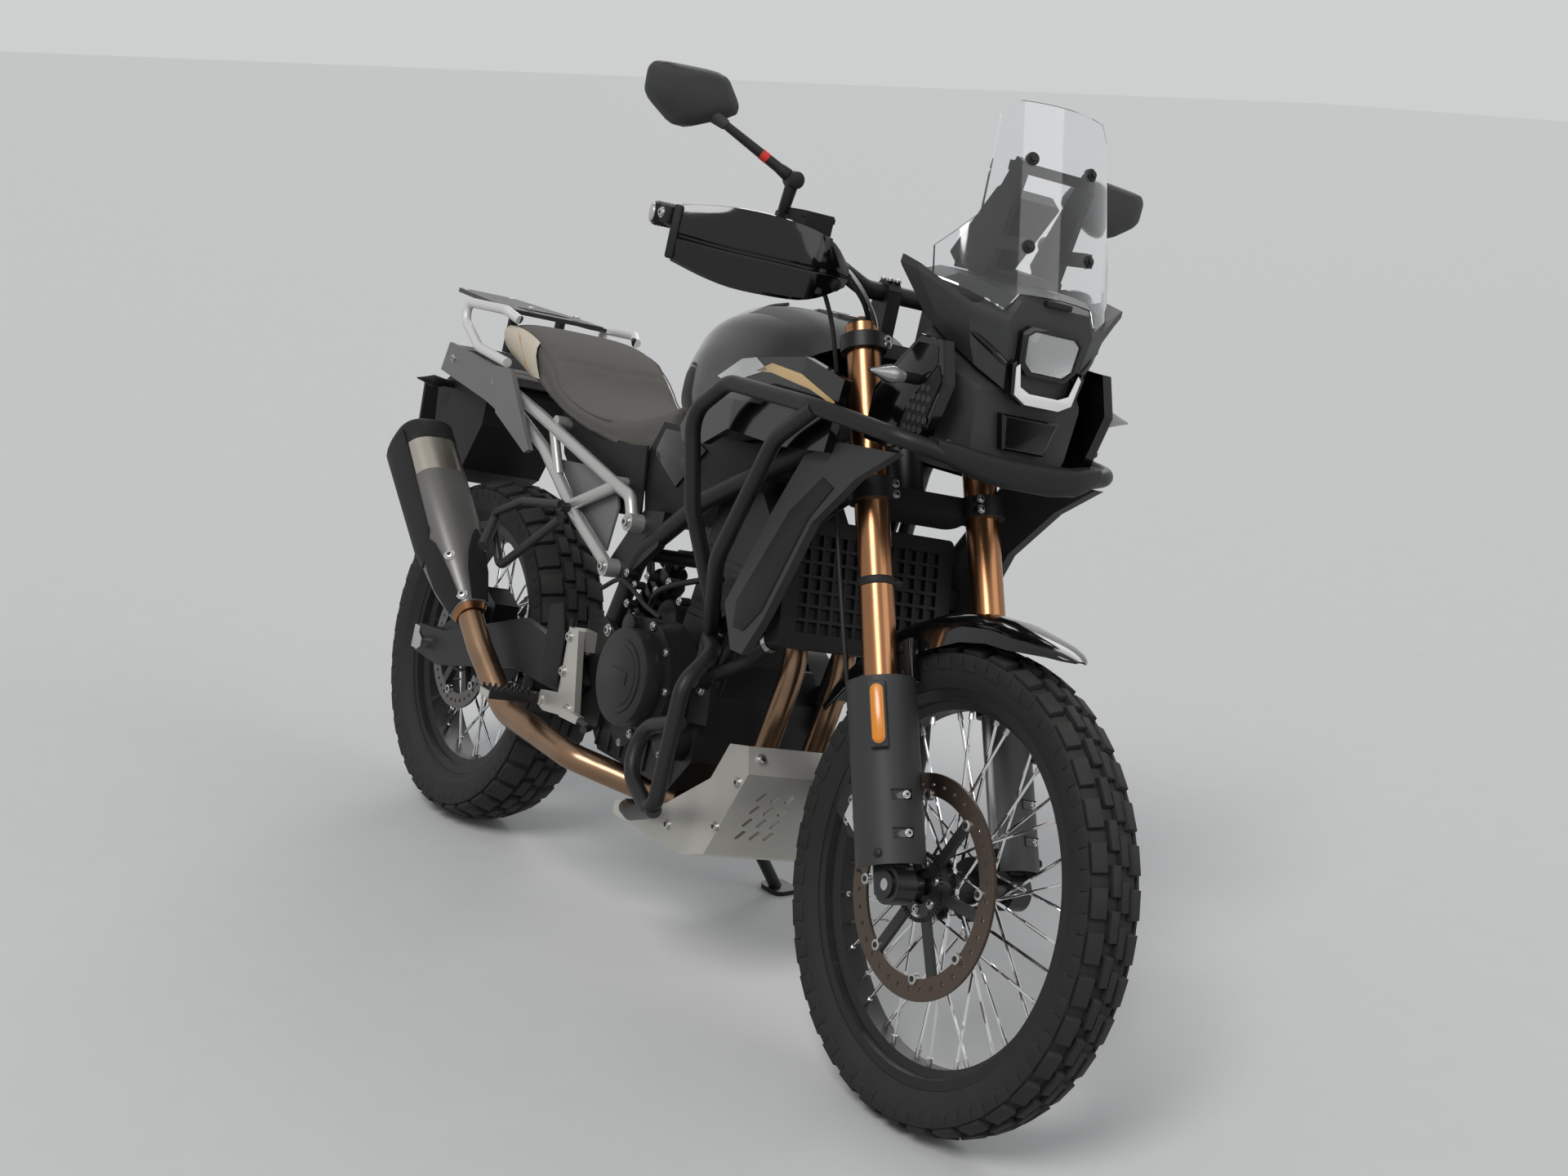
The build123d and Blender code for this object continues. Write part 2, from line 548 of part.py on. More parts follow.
STAND_PIVOT = Vector(600, 152, 296)
STAND_FOOT = GROUND.from_local_coords(Vector(623, 340, 6))
STAND_STOWED = Vector(-0.985, 0.14, -0.10).normalized()
STAND_REACH = (STAND_FOOT - STAND_PIVOT).normalized()
STAND_AXIS = STAND_REACH.cross(STAND_STOWED).normalized()
STAND_SWING = STAND_REACH.get_angle(STAND_STOWED)
STAND_LEG = 11.0
STAND_KNUCKLE = 18.0
STAND_KNUCKLE_HALF = 12.0
STAND_PIN = 6.0
STAND_PIN_LENGTH = 28.0
STAND_PLANE = Plane(origin=STAND_PIVOT, z_dir=STAND_AXIS)
with BuildPart() as frame:
    tube(((1112, 12, 972), (1010, 84, 878), (800, FRAME_RAIL_Y, 760), (640, FRAME_RAIL_Y, 640), (590, FRAME_RAIL_Y, 480)),
         (90, 120, 100), FRAME_TUBE)
    tube(DOWN_TUBE, DOWN_TUBE_BENDS, DOWN_TUBE_RADIUS)
    plate(((545, 500), (600, 520), (648, 500), (648, 340), (600, 322), (545, 345)),
          FRAME_SIDE_Y + FACE_GAP, FRAME_SIDE_Y + PLATE_T)
    plate(((914, 500), (960, 520), (974, 430), (914, 420)), FRAME_SIDE_Y + FACE_GAP, FRAME_SIDE_Y + PLATE_T)
    plate(((705, 722), (640, 712), (618, 690), (562, 612), (572, 585), (620, 588), (706, 664)),
          FRAME_SIDE_Y - 8, FRAME_SIDE_Y + 6)
    mirror(about=Plane.XZ)
    with BuildSketch(side(-FRAME_SIDE_Y)):
        with Locations(SHOCK_TUBE, TANK_TUBE):
            Circle(CROSS_RADIUS)
    extrude(amount=-2 * FRAME_SIDE_Y)
    plate(TANK_POST, -20, 20)
    plate(NOSE_BEAM, -14, 14)
    with BuildSketch(STEER.offset(HEAD_TUBE[0])):
        Circle(HEAD_TUBE_RADIUS)
    extrude(amount=HEAD_TUBE[1] - HEAD_TUBE[0])
    with BuildSketch(STEER.offset(HEAD_TUBE[0] - 20)):
        Circle(STEM_RADIUS + RUNNING_GAP)
    extrude(amount=HEAD_TUBE[1] - HEAD_TUBE[0] + 40, mode=Mode.SUBTRACT)
    with BuildSketch(side(0)):
        with Locations(PIVOT):
            Circle(PIVOT_PIN + FACE_GAP)
    extrude(amount=200, both=True, mode=Mode.SUBTRACT)
    lug_top = STAND_PLANE.offset(-STAND_KNUCKLE_HALF - FACE_GAP)
    with BuildSketch(lug_top):
        Circle(STAND_KNUCKLE)
    extrude(amount=-STAND_PIN_LENGTH)
    plate(((570, 345), (624, 345), (620, 290), (600, 262), (580, 268)), FRAME_SIDE_Y + FACE_GAP, FRAME_SIDE_Y + PLATE_T)
    with BuildSketch(lug_top):
        Circle(STAND_PIN + RUNNING_GAP)
    extrude(amount=-STAND_PIN_LENGTH - 1, mode=Mode.SUBTRACT)

CASE_HALF = FRAME_SIDE_Y
HEAD_HALF = 76.0
COVER_CENTRE = (812.0, 462.0)
COVER_RADIUS = 98.0
COVER_FACE_Y = 196.0
SPROCKET_CENTRE = (668.0, 425.0)
SPROCKET_RADIUS = 34.0
with BuildPart() as engine:
    plate(((612, 330), (645, 300), (885, 300), (935, 360), (935, 470), (905, 520), (690, 520), (612, 480)),
          -CASE_HALF, CASE_HALF)
    plate(((602, 340), (732, 340), (732, 510), (602, 510)), 68, CASE_HALF + 1, mode=Mode.SUBTRACT)
    plate(((765, 515), (905, 515), (935, 690), (800, 712)), -HEAD_HALF, HEAD_HALF)
    plate(((795, 700), (945, 672), (962, 765), (925, 800), (820, 812)), -HEAD_HALF - 2, HEAD_HALF + 2)
    for y, reach in ((-CASE_HALF, -COVER_FACE_Y), (CASE_HALF, COVER_FACE_Y - 10)):
        with BuildSketch(side(y)):
            with Locations(COVER_CENTRE):
                Circle(COVER_RADIUS)
        extrude(amount=(y - reach) * 0.62)
        with BuildSketch(side(y)):
            with Locations(COVER_CENTRE):
                Circle(COVER_RADIUS - 22)
        extrude(amount=y - reach)
    with BuildSketch(side(CHAIN_LINE + 5)):
        with Locations(SPROCKET_CENTRE):
            Circle(SPROCKET_RADIUS)
    extrude(amount=10)
    with BuildSketch(side(CHAIN_LINE + 5)):
        with Locations(SPROCKET_CENTRE):
            Circle(16)
    extrude(amount=CHAIN_LINE + 5 - 66)

CHEEK_INNER = 176.8
CHEEK_T = 15.0
RADIATOR_TILT = 14.0
RADIATOR_CENTRE = (1132.0, 696.0)
RADIATOR_HALF = 158.0
RADIATOR_HEIGHT = 196.0
RADIATOR_T = 34.0
with BuildPart() as radiator:
    tilt = radians(RADIATOR_TILT)
    radiator_plane = Plane(origin=(RADIATOR_CENTRE[0], 0, RADIATOR_CENTRE[1]), x_dir=(0, 1, 0),
                           z_dir=(cos(tilt), 0, sin(tilt)))
    with BuildSketch(radiator_plane):
        RectangleRounded(2 * RADIATOR_HALF, RADIATOR_HEIGHT, 10)
    extrude(amount=RADIATOR_T / 2, both=True)
    for flank in (1, -1):
        plate(((1066, 768), (1102, 768), (1100, 786), (1066, 786)), flank * 54, flank * 78)
        tube([(x, flank * y, z) for x, y, z in DOWN_TUBE], DOWN_TUBE_BENDS, DOWN_TUBE_RADIUS + FACE_GAP,
             mode=Mode.SUBTRACT)
        plate(((1120, 690), (1144, 690), (1144, 720), (1120, 720)), flank * (RADIATOR_HALF - 6), flank * (CHEEK_INNER - FACE_GAP))
    with BuildSketch(radiator_plane.offset(RADIATOR_T / 2)):
        with GridLocations(22, 22, 12, 7):
            Rectangle(17, 17)
    extrude(amount=-7, mode=Mode.SUBTRACT)

# x, half width, low, high, corner radius
TANK_ROWS = ((600, 66, 872, 978, 24), (640, 92, 866, 1034, 34), (730, 130, 862, 1074, 45), (840, 148, 866, 1096, 52),
             (950, 158, 890, 1096, 50), (1030, 146, 940, 1058, 40))
with BuildPart() as fuel_tank:
    hull_of_sections(TANK_ROWS)
    with BuildSketch(Plane(origin=(905, 0, 1086), z_dir=(-0.02, 0, 1))):
        Circle(34)
    extrude(amount=16)
    with BuildSketch(side(-60)):
        with Locations((1010, 930)):
            Circle(9)
    extrude(amount=-120)

SHROUD_T = 14.0
SHROUD_LINE = ((778, 166), (860, 178), (960, 192), (1150, 206), (1262, 208))
with BuildPart() as tank_shrouds:
    with BuildSketch(Plane.XY):
        with BuildLine():
            Polyline(*SHROUD_LINE, *[(x, y - SHROUD_T) for x, y in reversed(SHROUD_LINE)], close=True)
        make_face()
    extrude(amount=1200)
    with BuildSketch(side(100)):
        with BuildLine():
            Polyline((778, 872), (850, 965), (960, 1004), (1150, 1030), (1262, 1012), (1250, 905), (1130, 893),
                     (960, 893), (880, 858), (800, 850), close=True)
        make_face()
    extrude(amount=-200, mode=Mode.INTERSECT)
    with BuildSketch(side(172)):
        with Locations((870, 940)):
            Circle(12)
    extrude(amount=20)
    mirror(about=Plane.XZ)

with BuildPart() as radiator_cheeks:
    plate(((1180, 890), (1262, 924), (1400, 932), (1320, 882), (1236, 800), (1168, 640), (1132, 578), (1100, 578),
           (1058, 640), (1126, 790)), CHEEK_INNER, CHEEK_INNER + CHEEK_T)
    mirror(about=Plane.XZ)

NOSE_ROWS = ((1308, 150, 1128, 1200, 8), (1372, 128, 1080, 1188, 10), (1432, 68, 1045, 1166, 10))
CHIN_ROWS = ((1312, 96, 920, 1126, 10), (1380, 84, 920, 1078, 10), (1420, 62, 935, 1046, 10))
with BuildPart() as nose_cowl:
    hull_of_sections(NOSE_ROWS)
    hull_of_sections(CHIN_ROWS)
    plate(((1262, 1012), (1345, 1100), (1400, 1098), (1425, 1040), (1400, 960), (1330, 932), (1262, 936)), 140, 156)
    plate(((1262, 1012), (1345, 1100), (1400, 1098), (1425, 1040), (1400, 960), (1330, 932), (1262, 936)), -156, -140)
    plate(((1330, 1000), (1350, 1000), (1350, 1090), (1330, 1090)), -141, 141)

with BuildPart() as headlamps:
    upper = Plane(origin=(1432 + FACE_GAP, 0, 1108), x_dir=(0, 1, 0), z_dir=(1, 0, 0))
    with BuildSketch(upper):
        with BuildLine():
            Polyline((-57, 24), (-44, 34), (44, 34), (57, 24), (52, -20), (34, -34), (-34, -34), (-52, -20), close=True)
        make_face()
    extrude(amount=14)
    lower = Plane(origin=(1420 + FACE_GAP, 0, 992), x_dir=(0, 1, 0), z_dir=(1, 0, 0))
    with BuildSketch(lower):
        with BuildLine():
            Polyline((-52, 24), (52, 24), (38, -26), (-38, -26), close=True)
        make_face()
    extrude(amount=16)
    bar_plane = Plane(origin=(1432 + FACE_GAP, 0, 1046), x_dir=(0, 1, 0), z_dir=(1, 0, 0))
    with BuildSketch(bar_plane):
        with BuildLine():
            Polyline((-66, 40), (-60, 46), (-50, 12), (-30, 4), (30, 4), (50, 12), (60, 46), (66, 40), (58, -2),
                     (34, -14), (-34, -14), (-58, -2), close=True)
        make_face()
    extrude(amount=18)

SCREEN_SLOPE = 17.0
SCREEN_FOOT = (1440.0, 1180.0)
SCREEN_WALL = 4.0
SCREEN_BEND = 190.0
slope = radians(SCREEN_SLOPE)
screen_up = Vector(-sin(slope), 0, cos(slope))
screen_out = Vector(cos(slope), 0, sin(slope))
SCREEN_ORIGIN = Vector(SCREEN_FOOT[0], 0, SCREEN_FOOT[1])
with BuildPart() as windscreen:
    with BuildSketch(Plane(origin=SCREEN_ORIGIN - screen_up * 60, x_dir=(0, 1, 0), z_dir=screen_up)):
        with Locations((0, 0)):
            with Locations((0, SCREEN_BEND)):
                Circle(SCREEN_BEND)
                Circle(SCREEN_BEND - SCREEN_WALL, mode=Mode.SUBTRACT)
            with Locations((0, SCREEN_BEND + 150)):
                Rectangle(500, 500, mode=Mode.SUBTRACT)
    extrude(amount=420)
    with BuildSketch(Plane(origin=SCREEN_ORIGIN, x_dir=(0, 1, 0), z_dir=screen_out).offset(-200)):
        with BuildLine():
            Polyline((-82, 284), (-98, 262), (-116, 120), (-160, 72), (-160, 30), (-84, -18), (-66, 6), (66, 6),
                     (84, -18), (160, 30), (160, 72), (116, 120), (98, 262), (82, 284), close=True)
        make_face()
    extrude(amount=400, mode=Mode.INTERSECT)

DASH_PLANE = Plane(origin=(1284, 0, 1262), x_dir=(0, 1, 0), z_dir=(-0.8, 0, 0.6))
DASH_SIZE = (106.0, 136.0, 22.0)
with BuildPart() as dash:
    with BuildSketch(DASH_PLANE):
        RectangleRounded(DASH_SIZE[0], DASH_SIZE[1], 8)
    extrude(amount=DASH_SIZE[2])
    for flank in (1, -1):
        plate(((1300, 1204), (1345, 1204), (1371.5, 1345), (1366, 1364), (1350, 1370), (1280, 1230)), flank * 66, flank * 56)
        plate(((1340, 1238), (1404.5, 1240), (1398.5, 1260), (1340, 1258)), flank * 66, flank * 56)
    plate(((1336, 1350), (1354, 1350), (1354, 1364), (1336, 1364)), -66, 66)
    plate(((1242, 1204), (1345, 1201), (1345, 1212), (1242, 1222)), -50, 50)
    plate(((1304, 1200.2), (1345, 1200.2), (1345, 1212), (1304, 1212)), -70, 70)

SKID_HALF = 142.0
CRASH_RADIUS = 12.7
CRASH_Y = 232.0
# route, bend radii
CRASH_RUNS = (
    (((1452, 0, 936), (1446, 90, 938), (1408, 190, 954), (1235, CRASH_Y, 966), (1000, CRASH_Y, 965),
      (912, CRASH_Y - 2, 905), (932, 205, 760), (950, 134, 600), (945, 134, 500)), (60, 60, 150, 60, 60, 100, 60)),
    (((1240, CRASH_Y, 964), (1150, 228, 905), (1030, 205, 700), (955, 140, 580)), (90, 120)),
    (((950, 134, 560), (1040, 180, 560), (1062, 236, 510), (1064, 240, 300), (960, 236, 345), (955, 220, 415), (1060, 226, 450)),
     (45, 45, 22, 60, 40)),
    (((1064, 240, 312), (900, 176, 262), (850, 155, 257)), (40,)),
)
with BuildPart() as crash_bars:
    for route, bends in CRASH_RUNS:
        tube(route, bends, CRASH_RADIUS)
    with BuildSketch(side(FRAME_SIDE_Y + PLATE_T + FACE_GAP)):
        with Locations((945, 500)):
            Circle(18)
    extrude(amount=-24)
    with BuildSketch(side(SKID_HALF + FACE_GAP)):
        with Locations((852, 257)):
            Circle(15)
    extrude(amount=-14)
    mirror(about=Plane.XZ)

SKID_T = 4.0
SKID_LINE = ((1132, 440), (1148, 400), (1076, 252), (1010, 230), (790, 230))
with BuildPart() as skid_plate:
    plate(SKID_LINE + ((790, 252), (940, 292), (1050, 366), (1082, 430)), -SKID_HALF, SKID_HALF)
    inner = ((1132 - 12, 460), (1144 - SKID_T, 400), (1074 - SKID_T, 256), (1008, 234), (760, 234), (760, 460))
    plate(inner, -SKID_HALF + SKID_T, SKID_HALF - SKID_T, mode=Mode.SUBTRACT)
    with BuildSketch(Plane(origin=(1112, 0, 326), x_dir=(0, 1, 0), z_dir=(148, 0, -72))):
        with Locations((-70, 0), (70, 0)):
            with GridLocations(26, 26, 3, 4):
                SlotOverall(20, 8, rotation=60)
    extrude(amount=40, both=True, mode=Mode.SUBTRACT)

CAN_FOOT = Vector(258, -186, 416)
CAN_TOP = Vector(-66, -206, 690)
CAN_SOCKET = 18.0
can_axis = (CAN_TOP - CAN_FOOT).normalized()
HEADER_RADIUS = 19.0
LINK_RADIUS = 23.0
HEADER_Y = 46.0
with BuildPart() as exhaust_headers:
    for flank in (1, -1):
        tube(((960.1, flank * HEADER_Y, 724), (1030, flank * HEADER_Y, 690), (1068, flank * HEADER_Y, 560),
              (1030, flank * HEADER_Y, 380), (960, flank * 30, 276), (800, -40, 272)), (50, 120, 90, 50), HEADER_RADIUS)
    tube(((830, -40, 270), (752, -60, 264), (650, -160, 285), (404, -166, 298), CAN_FOOT - can_axis * 50,
          CAN_FOOT + can_axis * CAN_SOCKET), (60, 60, 90, 200), LINK_RADIUS)

with BuildPart() as silencer:
    can_length = (CAN_TOP - CAN_FOOT).length
    faces = []
    for reach, half in ((0.0, 30), (90, 48), (200, 62), (can_length, 62)):
        with BuildSketch(Plane(origin=CAN_FOOT + can_axis * reach, x_dir=(0, 1, 0), z_dir=can_axis)) as section:
            RectangleRounded(1.8 * half, 2 * half, half * 0.62)
        faces.append(section.sketch)
    loft(faces, ruled=True)
    with BuildSketch(Plane(origin=CAN_TOP, x_dir=(0, 1, 0), z_dir=can_axis)):
        Circle(24)
    extrude(amount=14)
    with BuildSketch(Plane(origin=CAN_FOOT, z_dir=can_axis)):
        Circle(LINK_RADIUS + FACE_GAP)
    extrude(amount=CAN_SOCKET + 2, mode=Mode.SUBTRACT)

# x, half width, low, high, corner radius
SEAT_ROWS = ((-14, 112, 902, 944, 18), (60, 132, 884, 952, 26), (225, 138, 834, 924, 30), (320, 138, 812, 858, 22),
             (440, 128, 794, 842, 22), (520, 104, 784, 856, 24), (600 - TYRE_GAP, 74, 790, 904, 24))
with BuildPart() as seat:
    hull_of_sections(SEAT_ROWS)

SUBFRAME_TUBE = 11.0
with BuildPart() as subframe:
    tube(((-81, 98, 853), (20, 118, 842), (243, SUBFRAME_Y, 806), (540, SUBFRAME_Y, 742), (612, SUBFRAME_Y, 728), (637, SUBFRAME_Y, 688)),
         (120, 200, 300, 30), SUBFRAME_TUBE)
    tube(((-60, 100, 846), (281, SUBFRAME_Y, 752), (441, SUBFRAME_Y, 662), (589, SUBFRAME_Y, 601)), (120, 160), SUBFRAME_TUBE)
    tube(((300, SUBFRAME_Y, 790), (352, SUBFRAME_Y, 718)), (), SUBFRAME_TUBE * 0.8)
    tube(((420, SUBFRAME_Y, 676), (560, SUBFRAME_Y, 738)), (), SUBFRAME_TUBE)
    for x, z in SUBFRAME_BOLTS:
        with BuildSketch(side(FRAME_SIDE_Y + 6 + FACE_GAP)):
            with Locations((x, z)):
                Circle(16)
        extrude(amount=-26)
    mirror(about=Plane.XZ)
    with BuildSketch(side(-SUBFRAME_Y)):
        with Locations((540, 742), (-74.8, 852)):
            Circle(9)
        with Locations((300, 805)):
            Circle(11.2)
    extrude(amount=-2 * SUBFRAME_Y)

HANDLE_ROUTE = ((104, 148, 880), (-20, 150, 892), (-104, 150, 936), (-100, 148, 968), (40, 140, 972), (74, 126, 960))
HANDLE_BENDS = (60, 30, 16, 30)
HANDLE_RADIUS = 9.0
with BuildPart() as rear_rack:
    with BuildSketch(Plane(origin=(-180, 0, 972), x_dir=(1, 0, 0), z_dir=(0.03, 0, 1))):
        with BuildLine():
            Polyline((-168, 54), (-150, 66), (100, 100), (170, 96), (170, -96), (100, -100), (-150, -66), (-168, -54),
                     close=True)
        make_face()
        with PolarLocations(55, 4, 45):
            Circle(4.5, mode=Mode.SUBTRACT)
        with Locations((100, 0)):
            SlotOverall(110, 40, rotation=90, mode=Mode.SUBTRACT)
    extrude(amount=8)
    for flank in (1, -1):
        tube([(x, flank * y, z) for x, y, z in HANDLE_ROUTE], HANDLE_BENDS, HANDLE_RADIUS)
        with BuildSketch(Plane(origin=(-70, flank * 116, 964))):
            Rectangle(50, 60)
        extrude(amount=8)
        with BuildSketch(Plane(origin=(-100, flank * 50, 974))):
            Circle(10)
        extrude(amount=-86.2)

with BuildPart() as tail_panels:
    plate(((46, 868), (128, 872), (262, 744), (246, 736), (106, 786)), 142, 152)
    plate(((-160, 884), (46, 868), (106, 786), (40, 800), (-176, 828)), 135, 143)
    mirror(about=Plane.XZ)
    plate(((-250, 876), (-84, 888), (-84, 830), (-96, 826), (-230, 826)), -90, 90)
    plate(((-100, 880), (-84, 880), (-84, 868), (-100, 868)), -137, 137)

with BuildPart() as plate_hanger:
    plate(((-70, 745), (-70, 812), (-96, 825.8), (-230, 825.8), (-290, 785), (-275, 715), (-175, 620), (-120, 650)), -86, 86)
    plate(((-280, 760), (-270, 735), (-342, 725), (-342, 750)), -20, 20)
    plate(((-338, 790), (-346, 790), (-330, 650), (-322, 650)), -92, 92)

# x, y, z of the stalk's root, half length, lens radius
INDICATORS = ((1360, 156.2, 1036, 66, 17), (-225, 86.2, 800, 62, 15))
with BuildPart() as signal_lamps:
    for x, y, z, length, fat in INDICATORS:
        with BuildSketch(Plane(origin=(x, y, z), x_dir=(0, 1, 0), z_dir=(0, 0, 1))):
            with BuildLine():
                Polyline((length + 18, 3), (length + 18, 0), (0, 0), (0, 8), (20, 8))
                ThreePointArc((20, 8), (24 + length / 2, fat), (length + 18, 3))
            make_face()
        revolve(axis=Axis((x, y, z), (0, 1, 0)))
    mirror(about=Plane.XZ)
    plate(((-235.1, 838), (-247.1, 868), (-263, 866), (-255, 842)), -48, 48)

ARM_INNER = 112.0
ARM_OUTER = 142.0
with BuildPart() as swingarm:
    plate(((575 + 32, 400), (560, 438), (360, 458), (60, 362), (-48, 352), (-48, 300), (60, 296), (360, 366), (560, 366)),
          ARM_INNER + 14, ARM_OUTER)
    plate(((440, 446), (500, 440), (500, 380), (440, 384)), 40, 79)
    mirror(about=Plane.XZ)
    plate(((452, 448), (500, 440), (500, 380), (452, 384)), -60, 60)
    plate(((452, 430), (500, 424), (500, 392), (452, 396)), -ARM_OUTER, ARM_OUTER)
    with BuildSketch(side(-ARM_OUTER)):
        with Locations(PIVOT):
            Circle(PIVOT_PIN)
    extrude(amount=-2 * ARM_OUTER)
    with BuildSketch(side(-ARM_OUTER)):
        with Locations((0, REAR_RADIUS)):
            Circle(AXLE_RADIUS + FACE_GAP)
    extrude(amount=-2 * ARM_OUTER, mode=Mode.SUBTRACT)

REAR_AXLE_RADIUS = AXLE_RADIUS
with BuildPart() as rear_axle:
    with BuildSketch(Plane(origin=REAR_AXLE + Vector(0, -ARM_OUTER - 14, 0), z_dir=(0, 1, 0))):
        Circle(REAR_AXLE_RADIUS)
    extrude(amount=2 * ARM_OUTER + 28)
    for flank in (1, -1):
        with BuildSketch(Plane(origin=REAR_AXLE + Vector(0, flank * 56, 0), z_dir=(0, flank, 0))):
            Circle(19)
        extrude(amount=ARM_INNER + 14 - 56 - FACE_GAP)

SHOCK_FOOT = Vector(482, 0, 455.8)
SHOCK_EYE = 12.0
SHOCK_TOP = Vector(SHOCK_TUBE[0] - CROSS_RADIUS - SHOCK_EYE - FACE_GAP, 0, SHOCK_TUBE[1])
with BuildPart() as rear_shock:
    shock_axis = (SHOCK_TOP - SHOCK_FOOT).normalized()
    for eye in (SHOCK_FOOT, SHOCK_TOP):
        with BuildSketch(side(-14)):
            with Locations((eye.X, eye.Z)):
                Circle(SHOCK_EYE)
        extrude(amount=-28)
    with BuildSketch(Plane(origin=SHOCK_FOOT, z_dir=shock_axis)):
        Circle(9)
    extrude(amount=(SHOCK_TOP - SHOCK_FOOT).length)
    with BuildSketch(Plane(origin=SHOCK_FOOT + shock_axis * 34, z_dir=shock_axis)):
        Circle(22)
    extrude(amount=158)
    for coil in range(6):
        with BuildSketch(Plane(origin=SHOCK_FOOT + shock_axis * (44 + coil * 22), z_dir=shock_axis)):
            Circle(31)
        extrude(amount=11)

CHAIN_T = 16.0
CHAIN_W = 14.0
REAR_SPROCKET = 104.0
with BuildPart() as drive_chain:
    with BuildSketch(side(CHAIN_LINE - CHAIN_W / 2)):
        with BuildLine():
            span = hypot(SPROCKET_CENTRE[0], SPROCKET_CENTRE[1] - REAR_RADIUS)
            rise = atan2(SPROCKET_CENTRE[1] - REAR_RADIUS, SPROCKET_CENTRE[0])
            wrap = atan2(REAR_SPROCKET - SPROCKET_RADIUS, span)
        with Locations((0, REAR_RADIUS)):
            Circle(REAR_SPROCKET + CHAIN_T)
        with Locations(SPROCKET_CENTRE):
            Circle(SPROCKET_RADIUS + CHAIN_T)
        make_hull()
        with BuildSketch(mode=Mode.SUBTRACT):
            with Locations((0, REAR_RADIUS)):
                Circle(REAR_SPROCKET + 1)
            with Locations(SPROCKET_CENTRE):
                Circle(SPROCKET_RADIUS + 0.3)
            make_hull()
    extrude(amount=-CHAIN_W)

with BuildPart() as rear_caliper:
    plate(((78, 388), (150, 392), (150, 440), (96, 462), (46, 424)), -94, -44)
    with BuildSketch(side(-71.5)):
        with Locations((0, REAR_RADIUS)):
            Circle(126)
    extrude(amount=-15, mode=Mode.SUBTRACT)
    plate(((-30, 352), (18, 362), (110, 430), (136, 400), (34, 300), (-30, 298)), -ARM_INNER - 13, -ARM_INNER + 5)
    plate(((96, 400), (130, 396), (128, 430), (104, 424)), -ARM_INNER - 5, -92)
    with BuildSketch(side(0)):
        with Locations((0, REAR_RADIUS)):
            Circle(19 + FACE_GAP)
    extrude(amount=200, mode=Mode.SUBTRACT)

with BuildPart() as footrests:
    plate(((552, 486), (585, 486), (628, 352), (600, 340), (520, 330), (490, 338), (500, 362), (560, 372)), 146, 158)
    plate(((552, 486), (585, 486), (590, 452), (556, 452)), FRAME_SIDE_Y + PLATE_T + FACE_GAP, 158)
    plate(((478, 340), (512, 340), (512, 352), (478, 352)), 158, 262)
    tube(((660, 164, 350), (720, 176, 352), (740, 200, 352)), (20,), 6)
    plate(((600, 340), (664, 342), (664, 356), (600, 356)), 158, 170)
    tube(((430, 156, 676), (300, 160, 656), (206, 168, 612), (262, 160, 528), (436, 156, 650)), (30, 20, 14), 8)
    tube(((222, 168, 604), (262, 200, 560)), (), 11)
    tube(((430, SUBFRAME_Y + 11.2, 672), (430, 158, 672)), (), 8)
    mirror(about=Plane.XZ)

# ---------------------------------------------------------------------------
# Side stand, deployed: its foot lies flat on the ground the machine leans to
# ---------------------------------------------------------------------------
with BuildPart() as side_stand:
    tube((STAND_PIVOT, STAND_FOOT), (), STAND_LEG)
    with BuildSketch(STAND_PLANE.offset(-STAND_KNUCKLE_HALF)):
        Circle(STAND_KNUCKLE)
    extrude(amount=2 * STAND_KNUCKLE_HALF)
    with BuildSketch(STAND_PLANE.offset(-STAND_KNUCKLE_HALF)):
        Circle(STAND_PIN)
    extrude(amount=-STAND_PIN_LENGTH)
    with BuildSketch(GROUND):
        with Locations((623, 346)):
            RectangleRounded(66, 48, 16)
    extrude(amount=8)
    with BuildSketch(GROUND):
        with Locations((623, 340)):
            Rectangle(400, 400)
    extrude(amount=-40, mode=Mode.SUBTRACT)


# ---------------------------------------------------------------------------
# Leaning over onto the stand, centring over the footprint, and writing
# ---------------------------------------------------------------------------
WHEEL_LOOP = ("tyre", "laced_rim", "disc")
pieces = wheel_pieces[:]
for name, piece in list(globals().items()):
    if isinstance(piece, BuildPart) and name not in WHEEL_LOOP:
        piece.part.label = name
        pieces.append(piece)
footprint = Compound(children=[LEANED * piece.part for piece in pieces]).bounding_box()
PARKED = Location((-footprint.center().X, -footprint.center().Y, -footprint.min.Z)) * LEANED
print("parked shift, mm:", footprint.center(), footprint.min.Z)
for piece in pieces:
    label = piece.part.label
    parked = PARKED * piece.part
    parked.label = label
    export_step(parked, f"parts/{label}.step")
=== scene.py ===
"""Adventure motorcycle: finishes, fittings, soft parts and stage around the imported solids."""
import logging
import math
from dataclasses import dataclass, field
from enum import Enum

import bmesh
import bpy
from mathutils import Matrix, Vector


